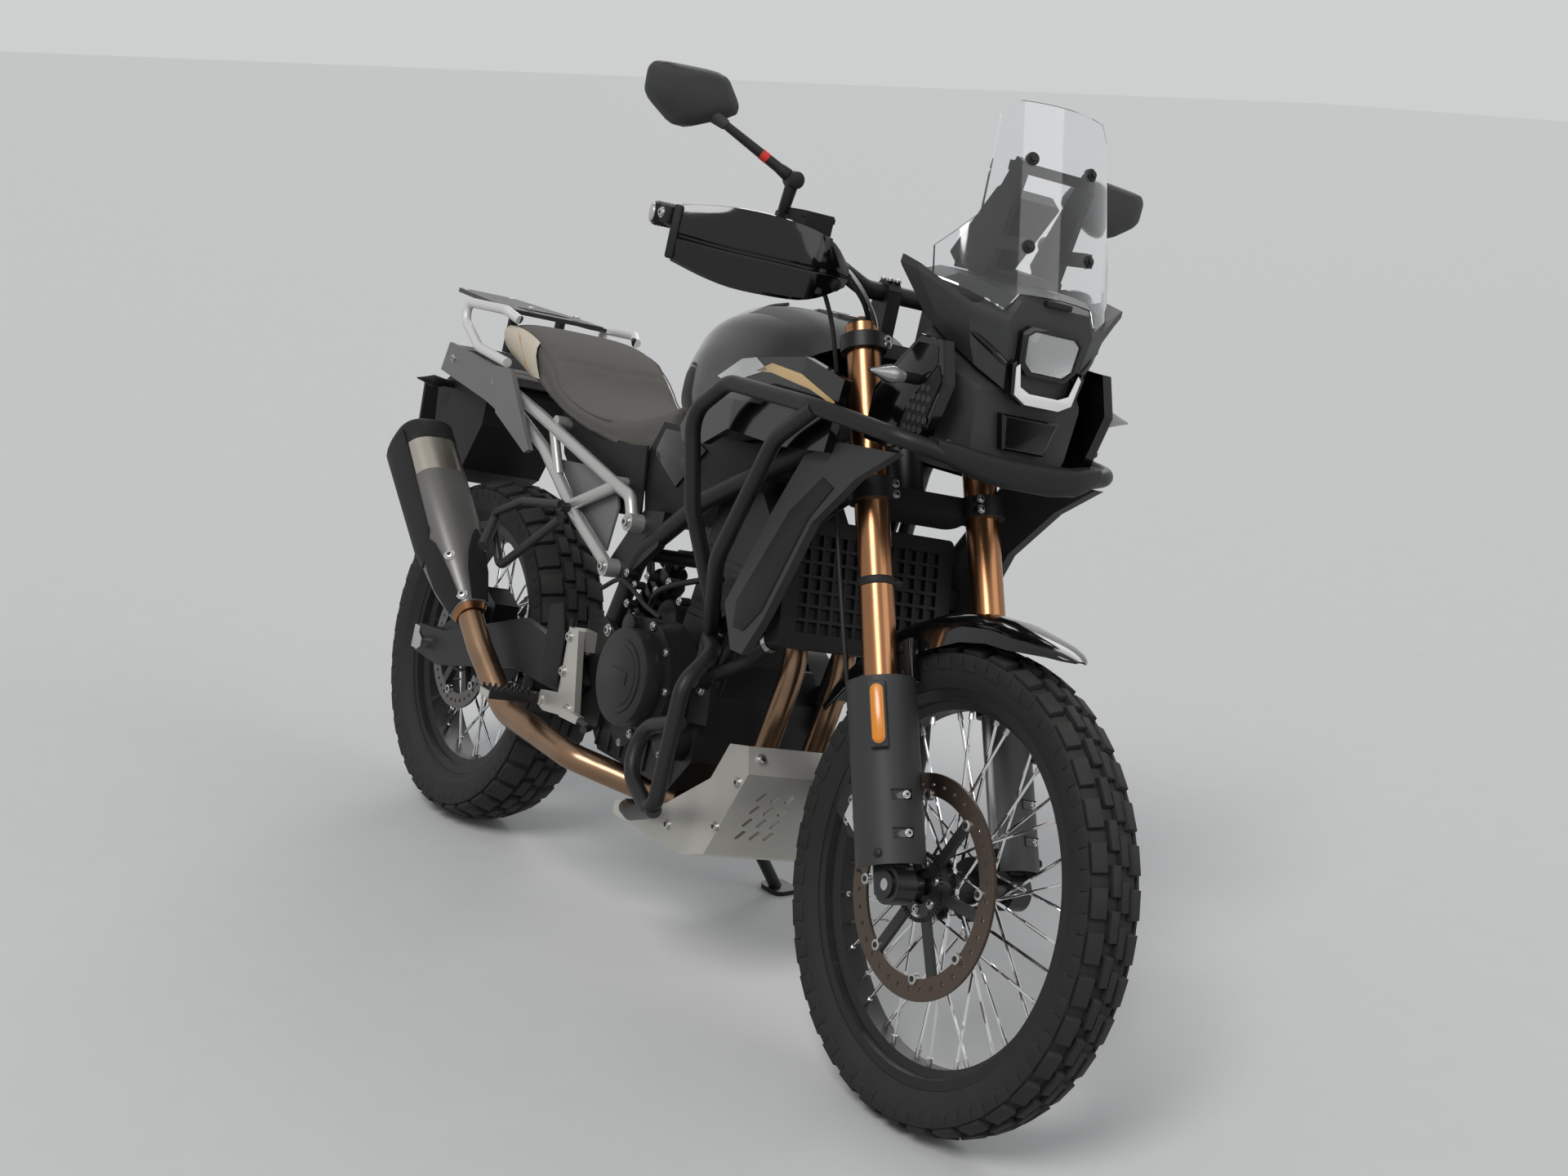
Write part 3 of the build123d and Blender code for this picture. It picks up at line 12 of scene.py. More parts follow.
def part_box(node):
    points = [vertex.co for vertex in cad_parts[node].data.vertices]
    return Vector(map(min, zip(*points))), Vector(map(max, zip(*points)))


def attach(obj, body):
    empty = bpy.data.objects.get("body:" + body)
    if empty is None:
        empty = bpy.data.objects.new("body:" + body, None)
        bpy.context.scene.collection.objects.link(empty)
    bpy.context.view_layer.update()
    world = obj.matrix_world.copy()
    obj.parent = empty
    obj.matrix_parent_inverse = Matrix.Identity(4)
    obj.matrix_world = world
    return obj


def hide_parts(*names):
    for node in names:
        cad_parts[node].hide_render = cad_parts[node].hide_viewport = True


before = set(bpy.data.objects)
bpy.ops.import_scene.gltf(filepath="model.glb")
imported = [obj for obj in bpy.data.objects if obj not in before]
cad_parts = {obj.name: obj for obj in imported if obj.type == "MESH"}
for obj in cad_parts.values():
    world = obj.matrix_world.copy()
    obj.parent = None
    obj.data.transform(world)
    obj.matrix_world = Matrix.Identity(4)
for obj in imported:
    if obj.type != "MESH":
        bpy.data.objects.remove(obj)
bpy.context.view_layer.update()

LOG = logging.getLogger("motorcycle")
MM = 0.001
Point = tuple[float, float, float]
Pair = tuple[float, float]


class Body(Enum):
    """The moving bodies a piece can ride on."""

    CHASSIS = "chassis"
    STEERING = "steering"
    FRONT_WHEEL = "front_wheel"
    REAR_WHEEL = "rear_wheel"


class Side(Enum):
    """The two flanks of the machine, as a sign along Y."""

    LEFT = 1
    RIGHT = -1

    @property
    def out(self) -> Vector:
        """The way out of the machine on this flank."""
        return Vector((0, self.value, 0))

    def at(self, x: float, y: float, z: float) -> Vector:
        """A point on this flank, given its distance from the middle plane."""
        return Vector((x, self.value * y, z))


@dataclass(frozen=True)
class Parking:
    """The lean and shift that set the upright machine down on its side stand."""

    lean: float = math.radians(11.4)
    wheelbase: float = 1505.0
    rear_axle_height: float = 326.5
    front_crown: Pair = (46.0, 12.0)
    rear_crown: Pair = (70.0, 20.0)

    def crown_drop(self, crown: Pair) -> float:
        """How far a leaned tyre's lowest point falls below its upright one.

        Args:
            crown: half width of the tread and how far it curves down.

        Returns:
            The drop in millimetres.
        """
        radius = (crown[0] ** 2 + crown[1] ** 2) / (2 * crown[1])
        return radius * (1 - math.cos(self.lean))

    def matrix(self) -> Matrix:
        """The step from upright millimetres to the parked frame in metres.

        Returns:
            A 4 by 4 matrix whose shift is read from the rear axle's place.
        """
        fall = self.crown_drop(self.rear_crown) - self.crown_drop(self.front_crown)
        pitch = math.atan2(fall, self.wheelbase)
        turn = Matrix.Rotation(pitch, 4, "Y") @ Matrix.Rotation(-self.lean, 4, "X")
        low, high = (Vector(corner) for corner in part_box("rear_axle"))
        axle = Vector((0, 0, self.rear_axle_height * MM))
        shift = (low + high) / 2 - turn @ axle
        return Matrix.Translation(shift) @ turn @ Matrix.Scale(MM, 4)


PARK = Parking().matrix()
UPRIGHT = (PARK @ Matrix.Scale(1 / MM, 4)).inverted()
RAKE = math.radians(26.5)
FRONT_AXLE = Vector((1505.0, 0.0, 347.5))
REAR_AXLE = Vector((0.0, 0.0, 326.5))
AHEAD = Vector((math.cos(RAKE), 0, math.sin(RAKE)))
UP = Vector((-math.sin(RAKE), 0, math.cos(RAKE)))
STEM_OFFSET = 55.0
LEG_OFFSET = 47.0
LEG_Y = 104.0
STEER_ORIGIN = FRONT_AXLE - AHEAD * STEM_OFFSET


def steer_point(ahead: float, left: float, height: float) -> Vector:
    """A point given in the steering frame.

    Args:
        ahead: distance ahead of the steering axis.
        left: distance to the rider's left.
        height: distance up the steering axis.

    Returns:
        The same point in the upright machine's frame.
    """
    return STEER_ORIGIN + AHEAD * ahead + Vector((0, left, 0)) + UP * height


# ---------------------------------------------------------------------------
# Finishes
# ---------------------------------------------------------------------------
@dataclass
class Wiring:
    """The nodes and links of one shader tree."""

    tree: bpy.types.NodeTree

    def feed(self, node: bpy.types.Node, feeds: dict[int | str, object]) -> None:
        """Sets the constants and makes the links that a node takes in.

        Args:
            node: the node that is fed.
            feeds: a constant, a socket or a node with one output for each input.
        """
        for label, value in feeds.items():
            if isinstance(value, bpy.types.Node):
                value = value.outputs[0]
            if isinstance(value, bpy.types.NodeSocket):
                self.tree.links.new(value, node.inputs[label])
            else:
                node.inputs[label].default_value = value

    def node(self, kind: str, feeds: dict[int | str, object] | None = None,
             **settings: object) -> bpy.types.Node:
        """Adds a node.

        Args:
            kind: its type.
            feeds: what each of its inputs takes.
            settings: its own properties.

        Returns:
            The node.
        """
        made = self.tree.nodes.new(kind if kind.startswith("Node") else f"ShaderNode{kind}")
        for label, value in settings.items():
            setattr(made, label, value)
        self.feed(made, feeds or {})
        return made

    def upright(self, shift: Vector | list[float]) -> bpy.types.Node:
        """Object coordinates turned back to the upright machine.

        Args:
            shift: what is added after the turn.

        Returns:
            The mapping node.
        """
        place = self.node("TexCoord").outputs["Object"]
        return self.node("Mapping", {"Vector": place, "Location": shift, "Rotation": UPRIGHT.to_euler()})


class SurfaceGroup:
    """The shader group that every finish shares: fine grain, uneven tone and settled dust."""

    name = "surface wear"
    inputs = (("Vector", "Vector"), ("Colour", "Color"), ("Scale", "Float"), ("Spread", "Float"),
              ("Dust", "Float"))
    outputs = (("Colour", "Color"), ("Height", "Float"), ("Polish", "Float"))
    dust_colour = (0.33, 0.31, 0.28, 1)

    @classmethod
    def tree(cls) -> bpy.types.NodeTree:
        """The group, built the first time it is asked for.

        Returns:
            A node group that puts out a colour, a height and a polish mask.
        """
        found = bpy.data.node_groups.get(cls.name)
        if found:
            return found
        group = bpy.data.node_groups.new(cls.name, "ShaderNodeTree")
        for way, sockets in (("INPUT", cls.inputs), ("OUTPUT", cls.outputs)):
            for label, kind in sockets:
                group.interface.new_socket(label, in_out=way, socket_type=f"NodeSocket{kind}")
        wiring = Wiring(group)
        entry = wiring.node("NodeGroupInput").outputs
        fine = wiring.node("TexNoise", {"Vector": entry["Vector"], "Scale": entry["Scale"], "Detail": 3})
        broad = wiring.node("TexNoise", {"Vector": entry["Vector"], "Scale": 14, "Detail": 4})
        swing = wiring.node("Math", {0: broad, 1: 0.5}, operation="SUBTRACT")
        amount = wiring.node("Math", {0: swing, 1: entry["Spread"], 2: 1.0}, operation="MULTIPLY_ADD")
        tone = wiring.node("VectorMath", {0: entry["Colour"], "Scale": amount}, operation="SCALE")
        normal = wiring.node("SeparateXYZ", {0: wiring.node("NewGeometry").outputs["Normal"]})
        lying = wiring.node("MapRange", {"Value": normal.outputs["Z"], "From Min": 0.2, "From Max": 1.0})
        patch = wiring.node("Math", {0: lying, 1: broad}, operation="MULTIPLY")
        dusty = wiring.node("Math", {0: patch, 1: entry["Dust"]}, operation="MULTIPLY")
        mix = wiring.node("Mix", {0: dusty, 6: tone, 7: cls.dust_colour}, data_type="RGBA")
        wiring.node("NodeGroupOutput", {"Colour": mix.outputs[2], "Height": fine, "Polish": broad})
        return group


@dataclass(frozen=True)
class Finish:
    """One finish of the machine: its colour, its gloss and its grain."""

    name: str
    colour: Point
    roughness: float
    metallic: float = 0.0
    coat: float = 0.0
    grain: float = 900.0
    relief: float = 0.1
    spread: float = 0.15
    dust: float = 0.0
    stretch: Point = (1.0, 1.0, 1.0)
    clear: float = 0.0
    glow: float = 0.0
    specular: float = 0.5

    def material(self) -> bpy.types.Material:
        """The Blender material of this finish, made once.

        Returns:
            The material.
        """
        found = bpy.data.materials.get(self.name)
        if found:
            return found
        material = bpy.data.materials.new(self.name)
        material.use_nodes = True
        wiring = Wiring(material.node_tree)
        shader = material.node_tree.nodes["Principled BSDF"]
        grain = wiring.upright([a * b for a, b in zip(UPRIGHT.to_translation(), self.stretch)])
        grain = wiring.node("VectorMath", {0: grain, 1: self.stretch}, operation="MULTIPLY")
        wear = wiring.node("Group", {"Vector": grain, "Colour": (*self.colour, 1), "Scale": self.grain,
                                     "Spread": self.spread, "Dust": self.dust}, node_tree=SurfaceGroup.tree())
        gloss = wiring.node("MapRange", {"Value": wear.outputs["Polish"],
                                         "To Min": max(self.roughness * 0.85, 0.01),
                                         "To Max": min(self.roughness * 1.18, 1.0)})
        wiring.feed(shader, {"Metallic": self.metallic, "Roughness": gloss,
                             "Specular IOR Level": self.specular,
                             "Coat Weight": self.coat, "Coat Roughness": 0.06, "IOR": 1.49,
                             "Transmission Weight": self.clear})
        if self.glow:
            wiring.feed(shader, {"Emission Color": (*self.colour, 1), "Emission Strength": self.glow})
        if self.relief:
            bump = wiring.node("Bump", {"Strength": self.relief, "Distance": 0.0005,
                                        "Height": wear.outputs["Height"]})
            wiring.feed(shader, {"Normal": bump})
        self.colouring(wiring, wear, shader)
        return material

    def colouring(self, wiring: Wiring, wear: bpy.types.Node, shader: bpy.types.Node) -> None:
        """Carries the worn colour to the shader.

        Args:
            wiring: the material's nodes.
            wear: the surface group's node.
            shader: the Principled BSDF.
        """
        wiring.feed(shader, {"Base Color": wear.outputs["Colour"]})


@dataclass(frozen=True)
class SplitFinish(Finish):
    """Two finishes on one solid, told apart by the distance from a line or a plane."""

    far_colour: Point = (0.15, 0.11, 0.085)
    far_metallic: float = 1.0
    split: float = 0.127
    origin: Point = (0.0, 0.0, 0.0)
    weights: Point = (1.0, 0.0, 1.0)

    def colouring(self, wiring: Wiring, wear: bpy.types.Node, shader: bpy.types.Node) -> None:
        """Mixes the near colour with the far one by the weighted distance from the origin.

        Args:
            wiring: the material's nodes.
            wear: the surface group's node.
            shader: the Principled BSDF.
        """
        place = wiring.upright(UPRIGHT.to_translation() - Vector(self.origin) * MM)
        flat = wiring.node("VectorMath", {0: place, 1: self.weights}, operation="MULTIPLY")
        reach = wiring.node("VectorMath", {0: flat}, operation="LENGTH")
        far = wiring.node("Math", {0: reach.outputs["Value"], 1: self.split}, operation="GREATER_THAN")
        mix = wiring.node("Mix", {0: far, 6: wear.outputs["Colour"], 7: (*self.far_colour, 1)},
                          data_type="RGBA")
        metal = wiring.node("MapRange", {"Value": far, "To Min": self.metallic, "To Max": self.far_metallic})
        wiring.feed(shader, {"Base Color": mix.outputs[2], "Metallic": metal})


BLACK_PAINT = Finish("black powder coat", (0.010, 0.010, 0.0105), 0.40, relief=0.25, grain=2500,
                     specular=0.35)
GLOSS_BLACK = Finish("gloss black plastic", (0.003, 0.003, 0.0035), 0.10, coat=0.25, relief=0.0, specular=0.4)
MATTE_BLACK = Finish("matte black plastic", (0.010, 0.010, 0.0105), 0.55, relief=0.35, grain=1800,
                     specular=0.3)
CHARCOAL = Finish("charcoal plastic", (0.034, 0.0345, 0.035), 0.48, relief=0.3, grain=2200, specular=0.35)
SILVER_PAINT = Finish("silver paint", (0.50, 0.50, 0.48), 0.34, metallic=0.6, coat=0.2, relief=0.05)
TAIL_GREY = Finish("tail panel grey", (0.16, 0.16, 0.158), 0.4, metallic=0.3, relief=0.15)
BRONZE = Finish("anodised bronze", (0.36, 0.175, 0.085), 0.26, metallic=1.0, relief=0.06,
                stretch=(1, 1, 0.05))
HEADER_BRONZE = Finish("heat tinted pipe", (0.30, 0.19, 0.12), 0.3, metallic=1.0, spread=0.7, relief=0.05)
ALLOY = Finish("bead blasted alloy", (0.55, 0.535, 0.49), 0.42, metallic=0.7, relief=0.2, dust=0.1)
DARK_ALLOY = Finish("dark crankcase alloy", (0.018, 0.018, 0.019), 0.42, metallic=0.3, relief=0.3,
                    specular=0.4)
STEEL = Finish("zinc plated steel", (0.55, 0.54, 0.52), 0.3, metallic=1.0, relief=0.05)
DARK_STEEL = Finish("dark steel", (0.055, 0.055, 0.057), 0.3, metallic=0.9, relief=0.05)
CHAIN_STEEL = Finish("chain steel", (0.30, 0.27, 0.21), 0.35, metallic=1.0, relief=0.2)
CHROME = Finish("hard chrome", (0.75, 0.75, 0.76), 0.08, metallic=1.0, relief=0.02)
RUBBER = Finish("hose rubber", (0.009, 0.009, 0.009), 0.5, relief=0.1, specular=0.35)
TYRE_RUBBER = Finish("tyre rubber", (0.017, 0.0165, 0.016), 0.75, relief=0.6, grain=1400, dust=0.12,
                     spread=0.5, specular=0.35)
CLEAR = Finish("clear screen", (0.97, 0.98, 0.99), 0.03, clear=1.0, relief=0.0, spread=0.0)
LENS = Finish("lamp lens", (0.9, 0.92, 0.94), 0.05, clear=0.95, relief=0.0)
AMBER = Finish("amber reflector", (0.72, 0.24, 0.012), 0.25, relief=0.1, grain=1400, coat=0.3)
SEAT_COVER = Finish("seat cover", (0.118, 0.110, 0.099), 0.85, relief=1.0, grain=1100, spread=0.35,
                    specular=0.25)
SEAT_CREAM = Finish("cream seat cover", (0.60, 0.53, 0.42), 0.7, relief=0.6, grain=1500)
STITCH = Finish("orange stitch", (0.62, 0.24, 0.08), 0.6, relief=0.4)
CAN_GREY = Finish("silencer grey", (0.185, 0.18, 0.172), 0.42, metallic=0.7, relief=0.2, grain=1500)
BRUSHED = Finish("brushed steel band", (0.50, 0.46, 0.40), 0.28, metallic=1.0, grain=500, relief=0.15,
                 stretch=(1, 0.08, 1))
LAMP_WHITE = Finish("lamp light bar", (0.70, 0.70, 0.68), 0.3, relief=0.02, glow=0.08)
REFLECTOR = Finish("lamp reflector", (0.50, 0.50, 0.49), 0.2, metallic=1.0, relief=0.5, grain=240)
STRIPE_WHITE = Finish("white stripe", (0.72, 0.72, 0.70), 0.25, coat=0.5, relief=0.02)
STRIPE_CREAM = Finish("cream stripe", (0.66, 0.44, 0.18), 0.25, coat=0.5, relief=0.02)
STRIPE_GREY = Finish("grey stripe", (0.20, 0.20, 0.20), 0.3, coat=0.4, relief=0.02)
STRIPE_BROWN = Finish("brown stripe", (0.045, 0.036, 0.030), 0.25, coat=0.5, relief=0.02)
RED_BAND = Finish("red band", (0.55, 0.02, 0.015), 0.4, relief=0.1)
TAIL_RED = Finish("tail lamp red", (0.30, 0.008, 0.006), 0.15, relief=0.4, grain=300, coat=0.4)
MIRROR_GLASS = Finish("mirror glass", (0.82, 0.84, 0.86), 0.03, metallic=1.0, relief=0.02)
SCREEN_GLASS = Finish("display glass", (0.01, 0.011, 0.013), 0.08, coat=0.5, relief=0.02)
FLUID = Finish("brake fluid window", (0.36, 0.17, 0.02), 0.2, relief=0.02)
SMOKED_LENS = Finish("indicator lens", (0.34, 0.335, 0.33), 0.12, metallic=0.5, relief=1.0, grain=260)
FRONT_DISC = SplitFinish("front disc", (0.014, 0.014, 0.014), 0.36, relief=0.15, origin=tuple(FRONT_AXLE),
                         far_colour=(0.13, 0.10, 0.08))
REAR_DISC = SplitFinish("rear disc", (0.014, 0.014, 0.014), 0.36, relief=0.15, split=0.091,
                        origin=tuple(REAR_AXLE), far_colour=(0.16, 0.15, 0.14))
FORK_FEET = SplitFinish("fork feet and stanchions", (0.012, 0.012, 0.012), 0.3, relief=0.05, split=0.062,
                        origin=tuple(FRONT_AXLE), far_colour=(0.72, 0.72, 0.73))
PEG_ALLOY = SplitFinish("pegs and passenger hangers", (0.55, 0.535, 0.49), 0.42, metallic=0.7, relief=0.2,
                        split=0.128, origin=(545.0, 0.0, 400.0), far_colour=(0.026, 0.026, 0.027),
                        far_metallic=0.3)
RACK_PAINT = SplitFinish("rack and grab handles", (0.012, 0.012, 0.0125), 0.42, relief=0.2, split=0.1235,
                         weights=(0.0, 1.0, 0.0), far_colour=(0.66, 0.66, 0.64), far_metallic=0.2)

NODE_FINISHES: dict[str, Finish] = {
    "frame": BLACK_PAINT, "subframe": SILVER_PAINT, "engine": DARK_ALLOY, "radiator": MATTE_BLACK,
    "fuel_tank": GLOSS_BLACK, "tank_shrouds": GLOSS_BLACK, "radiator_cheeks": CHARCOAL,
    "nose_cowl": CHARCOAL, "headlamps": LENS, "windscreen": CLEAR, "dash": MATTE_BLACK,
    "crash_bars": BLACK_PAINT, "skid_plate": ALLOY, "exhaust_headers": HEADER_BRONZE,
    "silencer": CAN_GREY, "seat": SEAT_COVER, "rear_rack": RACK_PAINT, "tail_panels": TAIL_GREY,
    "plate_hanger": MATTE_BLACK, "signal_lamps": SMOKED_LENS, "swingarm": DARK_ALLOY,
    "rear_axle": STEEL, "rear_shock": DARK_STEEL, "drive_chain": CHAIN_STEEL, "rear_caliper": DARK_ALLOY,
    "footrests": PEG_ALLOY, "triple_clamps": BLACK_PAINT, "fork_tubes": BRONZE, "fork_legs": FORK_FEET,
    "fork_guards": CHARCOAL, "front_fender": GLOSS_BLACK, "front_axle": DARK_STEEL,
    "front_caliper": DARK_ALLOY, "handlebar": BLACK_PAINT, "handguards": GLOSS_BLACK,
    "mirrors": MATTE_BLACK, "bar_controls": MATTE_BLACK, "brake_hose": RUBBER,
    "front_tyre": TYRE_RUBBER, "front_rim": BLACK_PAINT, "front_disc": FRONT_DISC,
    "rear_tyre": TYRE_RUBBER, "rear_rim": BLACK_PAINT, "rear_disc": REAR_DISC,
    "side_stand": BLACK_PAINT,
}


# ---------------------------------------------------------------------------
# Building meshes
# ---------------------------------------------------------------------------
class Shape:
    """One piece in the making, drawn upright in millimetres with bmesh operators."""

    def __init__(self) -> None:
        """Starts an empty mesh."""
        self.bm = bmesh.new()
        self.done = self.bm.faces.layers.int.new("done")
        self.finishes: list[Finish] = []

    def close(self, finish: Finish) -> None:
        """Gives the faces made since the last call their finish and outward normals.

        Args:
            finish: the finish of those faces.
        """
        if finish not in self.finishes:
            self.finishes.append(finish)
        slot = self.finishes.index(finish)
        fresh = [face for face in self.bm.faces if not face[self.done]]
        bmesh.ops.recalc_face_normals(self.bm, faces=fresh)
        for face in fresh:
            face.material_index = slot
            face[self.done] = 1

    def block(self, centre: Vector | Point, size: Point, finish: Finish, bevel: float = 0.0,
              turn: Matrix | None = None, taper: float = 1.0) -> None:
        """A block with rounded edges.

        Args:
            centre: its middle.
            size: its lengths along its own axes.
            finish: its finish.
            bevel: the width of its edge rounding.
            turn: its rotation.
            taper: how much narrower its upper face is.
        """
        place = Matrix.Translation(centre) @ (turn.to_4x4() if turn else Matrix.Identity(4))
        made = bmesh.ops.create_cube(self.bm, size=1.0)["verts"]
        for vert in made:
            shrink = taper if vert.co.z > 0 else 1.0
            vert.co = Vector((vert.co.x * size[0] * shrink, vert.co.y * size[1] * shrink,
                              vert.co.z * size[2]))
        if bevel:
            edges = list(dict.fromkeys(edge for vert in made for edge in vert.link_edges))
            made = bmesh.ops.bevel(self.bm, geom=edges, offset=bevel, segments=2, profile=0.5,
                                   affect="EDGES", material=-1)["verts"]
        bmesh.ops.transform(self.bm, matrix=place, verts=list(made))
        self.close(finish)

    def rod(self, start: Vector | Point, end: Vector | Point, radius: float, finish: Finish, sides: int = 20,
            end_radius: float | None = None, bevel: float = 0.0) -> None:
        """A round bar between two points.

        Args:
            start: the middle of its first face.
            end: the middle of its last face.
            radius: its radius at the start.
            finish: its finish.
            sides: how many sides it has.
            end_radius: its radius at the end, if it tapers.
            bevel: the rounding of its end edges.
        """
        start, end = Vector(start), Vector(end)
        along = end - start
        place = Matrix.Translation((start + end) / 2) @ along.to_track_quat("Z", "Y").to_matrix().to_4x4()
        made = bmesh.ops.create_cone(self.bm, cap_ends=True, segments=sides, radius1=radius,
                                     radius2=radius if end_radius is None else end_radius,
                                     depth=along.length, matrix=place)["verts"]
        if bevel:
            rims = dict.fromkeys(edge for vert in made for face in vert.link_faces if len(face.verts) > 4
                                 for edge in face.edges)
            bmesh.ops.bevel(self.bm, geom=list(rims), offset=bevel, segments=2, profile=0.5,
                            affect="EDGES", material=-1)
        self.close(finish)

    def bolt(self, at: Vector | Point, out: Vector | Point, radius: float, finish: Finish = STEEL,
             height: float = 0.0) -> None:
        """A round-headed socket bolt with a flange.

        Args:
            at: where its flange meets the surface.
            out: the way its head points.
            radius: the head's radius.
            finish: its finish.
            height: the head's height, or none for one in proportion.
        """
        at, out = Vector(at), Vector(out).normalized()
        tall = height or radius * 0.8
        self.rod(at - out, at + out * tall * 0.35, radius * 1.35, finish, 16)
        self.rod(at, at + out * tall, radius, finish, 16, bevel=radius * 0.18)
        self.rod(at + out * (tall - 0.2), at + out * (tall + 0.15), radius * 0.5, BLACK_PAINT, 6)

    def loft(self, rings: list[list[Vector]], finish: Finish, caps: bool = True) -> None:
        """A skin bridged through rings of points.

        Args:
            rings: the closed rings, each with the same number of points.
            finish: its finish.
            caps: whether the first and last rings are closed.
        """
        loops = []
        for ring in rings:
            verts = [self.bm.verts.new(point) for point in ring]
            loops.append([self.bm.edges.new((a, b)) for a, b in zip(verts, verts[1:] + verts[:1])])
        for low, high in zip(loops, loops[1:]):
            bmesh.ops.bridge_loops(self.bm, edges=low + high)
        if caps:
            bmesh.ops.contextual_create(self.bm, geom=loops[0])
            bmesh.ops.contextual_create(self.bm, geom=loops[-1])
        self.close(finish)

    def pipe(self, route: list[Vector | Point], radius: float, finish: Finish, sides: int = 12) -> None:
        """A round pipe along a smooth route.

        Args:
            route: the points it passes.
            radius: its radius.
            finish: its finish.
            sides: how many sides it has.
        """
        smooth = [Vector(point) for point in flowing([tuple(point) for point in route], 8)]
        normal = (smooth[1] - smooth[0]).orthogonal().normalized()
        rings = []
        for index, point in enumerate(smooth):
            along = (smooth[min(index + 1, len(smooth) - 1)] - smooth[max(index - 1, 0)]).normalized()
            normal = (normal - along * normal.dot(along)).normalized()
            cross = along.cross(normal)
            rings.append([point + (normal * math.cos(a) + cross * math.sin(a)) * radius
                          for a in (math.tau * side / sides for side in range(sides))])
        self.loft(rings, finish)

    def plate(self, outline: list[Vector], depth: Vector, finish: Finish, bevel: float = 0.0) -> None:
        """A flat plate: an outline pushed out to its thickness.

        Args:
            outline: the corners of one face.
            depth: the way to the other face.
            finish: its finish.
            bevel: the rounding of its edges.
        """
        face = self.bm.faces.new([self.bm.verts.new(point) for point in outline])
        grown = bmesh.ops.extrude_face_region(self.bm, geom=[face])["geom"]
        top = [item for item in grown if isinstance(item, bmesh.types.BMVert)]
        bmesh.ops.translate(self.bm, vec=depth, verts=top)
        if bevel:
            edges = dict.fromkeys(edge for vert in top for edge in vert.link_edges
                                  if all(end in top for end in edge.verts))
            bmesh.ops.bevel(self.bm, geom=list(edges), offset=bevel, segments=2, profile=0.5,
                            affect="EDGES", material=-1)
        self.close(finish)

    def repeat_about(self, axle: Vector, count: int, start: int = 0) -> None:
        """Repeats everything made so far around an axle along Y.

        Args:
            axle: a point on the axle.
            count: how many copies there are in the full turn.
            start: the first face that is repeated.
        """
        faces = list(self.bm.faces)[start:]
        verts = dict.fromkeys(vert for face in faces for vert in face.verts)
        edges = dict.fromkeys(edge for face in faces for edge in face.edges)
        bmesh.ops.spin(self.bm, geom=[*verts, *edges, *faces], cent=axle, axis=(0, 1, 0), dvec=(0, 0, 0),
                       angle=math.tau * (count - 1) / count, steps=count - 1, use_duplicate=True)

    def panel(self, outline: tuple[Pair, ...] | list[Pair], side: Side, y: float, depth: float,
              finish: Finish,
              bevel: float = 0.0) -> None:
        """A flat plate square to Y on one flank.

        Args:
            outline: forward and up corners.
            side: the flank it lies on.
            y: its inner face's distance from the middle plane.
            depth: its thickness.
            finish: its finish.
            bevel: the rounding of its edges.
        """
        self.plate([side.at(x, y, z) for x, z in outline], side.out * depth, finish, bevel)

    def finish(self, name: str, body: Body, sharp: float = 35.0, slot: str = "",
               subdivide: int = 0) -> bpy.types.Object:
        """Parks the piece, makes its object and lets it ride on its body.

        Args:
            name: the object's name.
            body: the body that carries it.
            sharp: edges that turn more than this many degrees stay sharp.
            slot: not used.
            subdivide: subdivision levels for a soft or rounded piece.

        Returns:
            The finished object.
        """
        bmesh.ops.transform(self.bm, matrix=PARK, verts=self.bm.verts)
        for edge in self.bm.edges:
            edge.smooth = edge.calc_face_angle(0.0) < math.radians(sharp)
        for face in self.bm.faces:
            face.smooth = True
        self.bm.faces.layers.int.remove(self.done)
        mesh = bpy.data.meshes.new(name)
        self.bm.to_mesh(mesh)
        self.bm.free()
        for finish in self.finishes:
            mesh.materials.append(finish.material())
        piece = bpy.data.objects.new(name, mesh)
        bpy.context.scene.collection.objects.link(piece)
        if subdivide:
            modifier = piece.modifiers.new("rounding", "SUBSURF")
            modifier.levels = modifier.render_levels = subdivide
        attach(piece, body.value)
        LOG.info("%s: %d faces on %s", name, len(mesh.polygons), body.value)
        return piece


def ring(centre: Vector | Point, across: Vector | Point, up: Vector | Point, half: Pair, power: float = 2.4,
         count: int = 32) -> list[Vector]:
    """A rounded-rectangle ring.

    Args:
        centre: its middle.
        across: the way of its first half size.
        up: the way of its second half size.
        half: its two half sizes.
        power: 2 for an ellipse, more for squarer corners.
        count: how many points it has.

    Returns:
        The points, in order.
    """
    centre, across, up = Vector(centre), Vector(across).normalized(), Vector(up).normalized()
    points = []
    for index in range(count):
        angle = math.tau * (index + 0.5) / count
        c, s = math.cos(angle), math.sin(angle)
        points.append(centre + across * math.copysign(abs(c) ** (2 / power), c) * half[0]
                      + up * math.copysign(abs(s) ** (2 / power), s) * half[1])
    return points


def around(centre: Vector, radius: float, angle: float, y: float = 0.0) -> Vector:
    """A point on a circle about an axle along Y.

    Args:
        centre: the circle's middle.
        radius: its radius.
        angle: the way from X towards Z.
        y: a shift along the axle.

    Returns:
        The point.
    """
    return centre + Vector((radius * math.cos(angle), y, radius * math.sin(angle)))


def softened(points: list[Vector], rounds: int = 2, share: float = 0.22) -> list[Vector]:
    """A closed outline with its corners cut again and again until they are round.

    Args:
        points: the outline's corners.
        rounds: how many times each corner is cut.
        share: how far along each edge the cut begins.

    Returns:
        The rounded outline.
    """
    for _ in range(rounds):
        cut = []
        for start, end in zip(points, points[1:] + points[:1]):
            cut.append(start.lerp(end, share))
            cut.append(start.lerp(end, 1 - share))
        points = cut
    return points


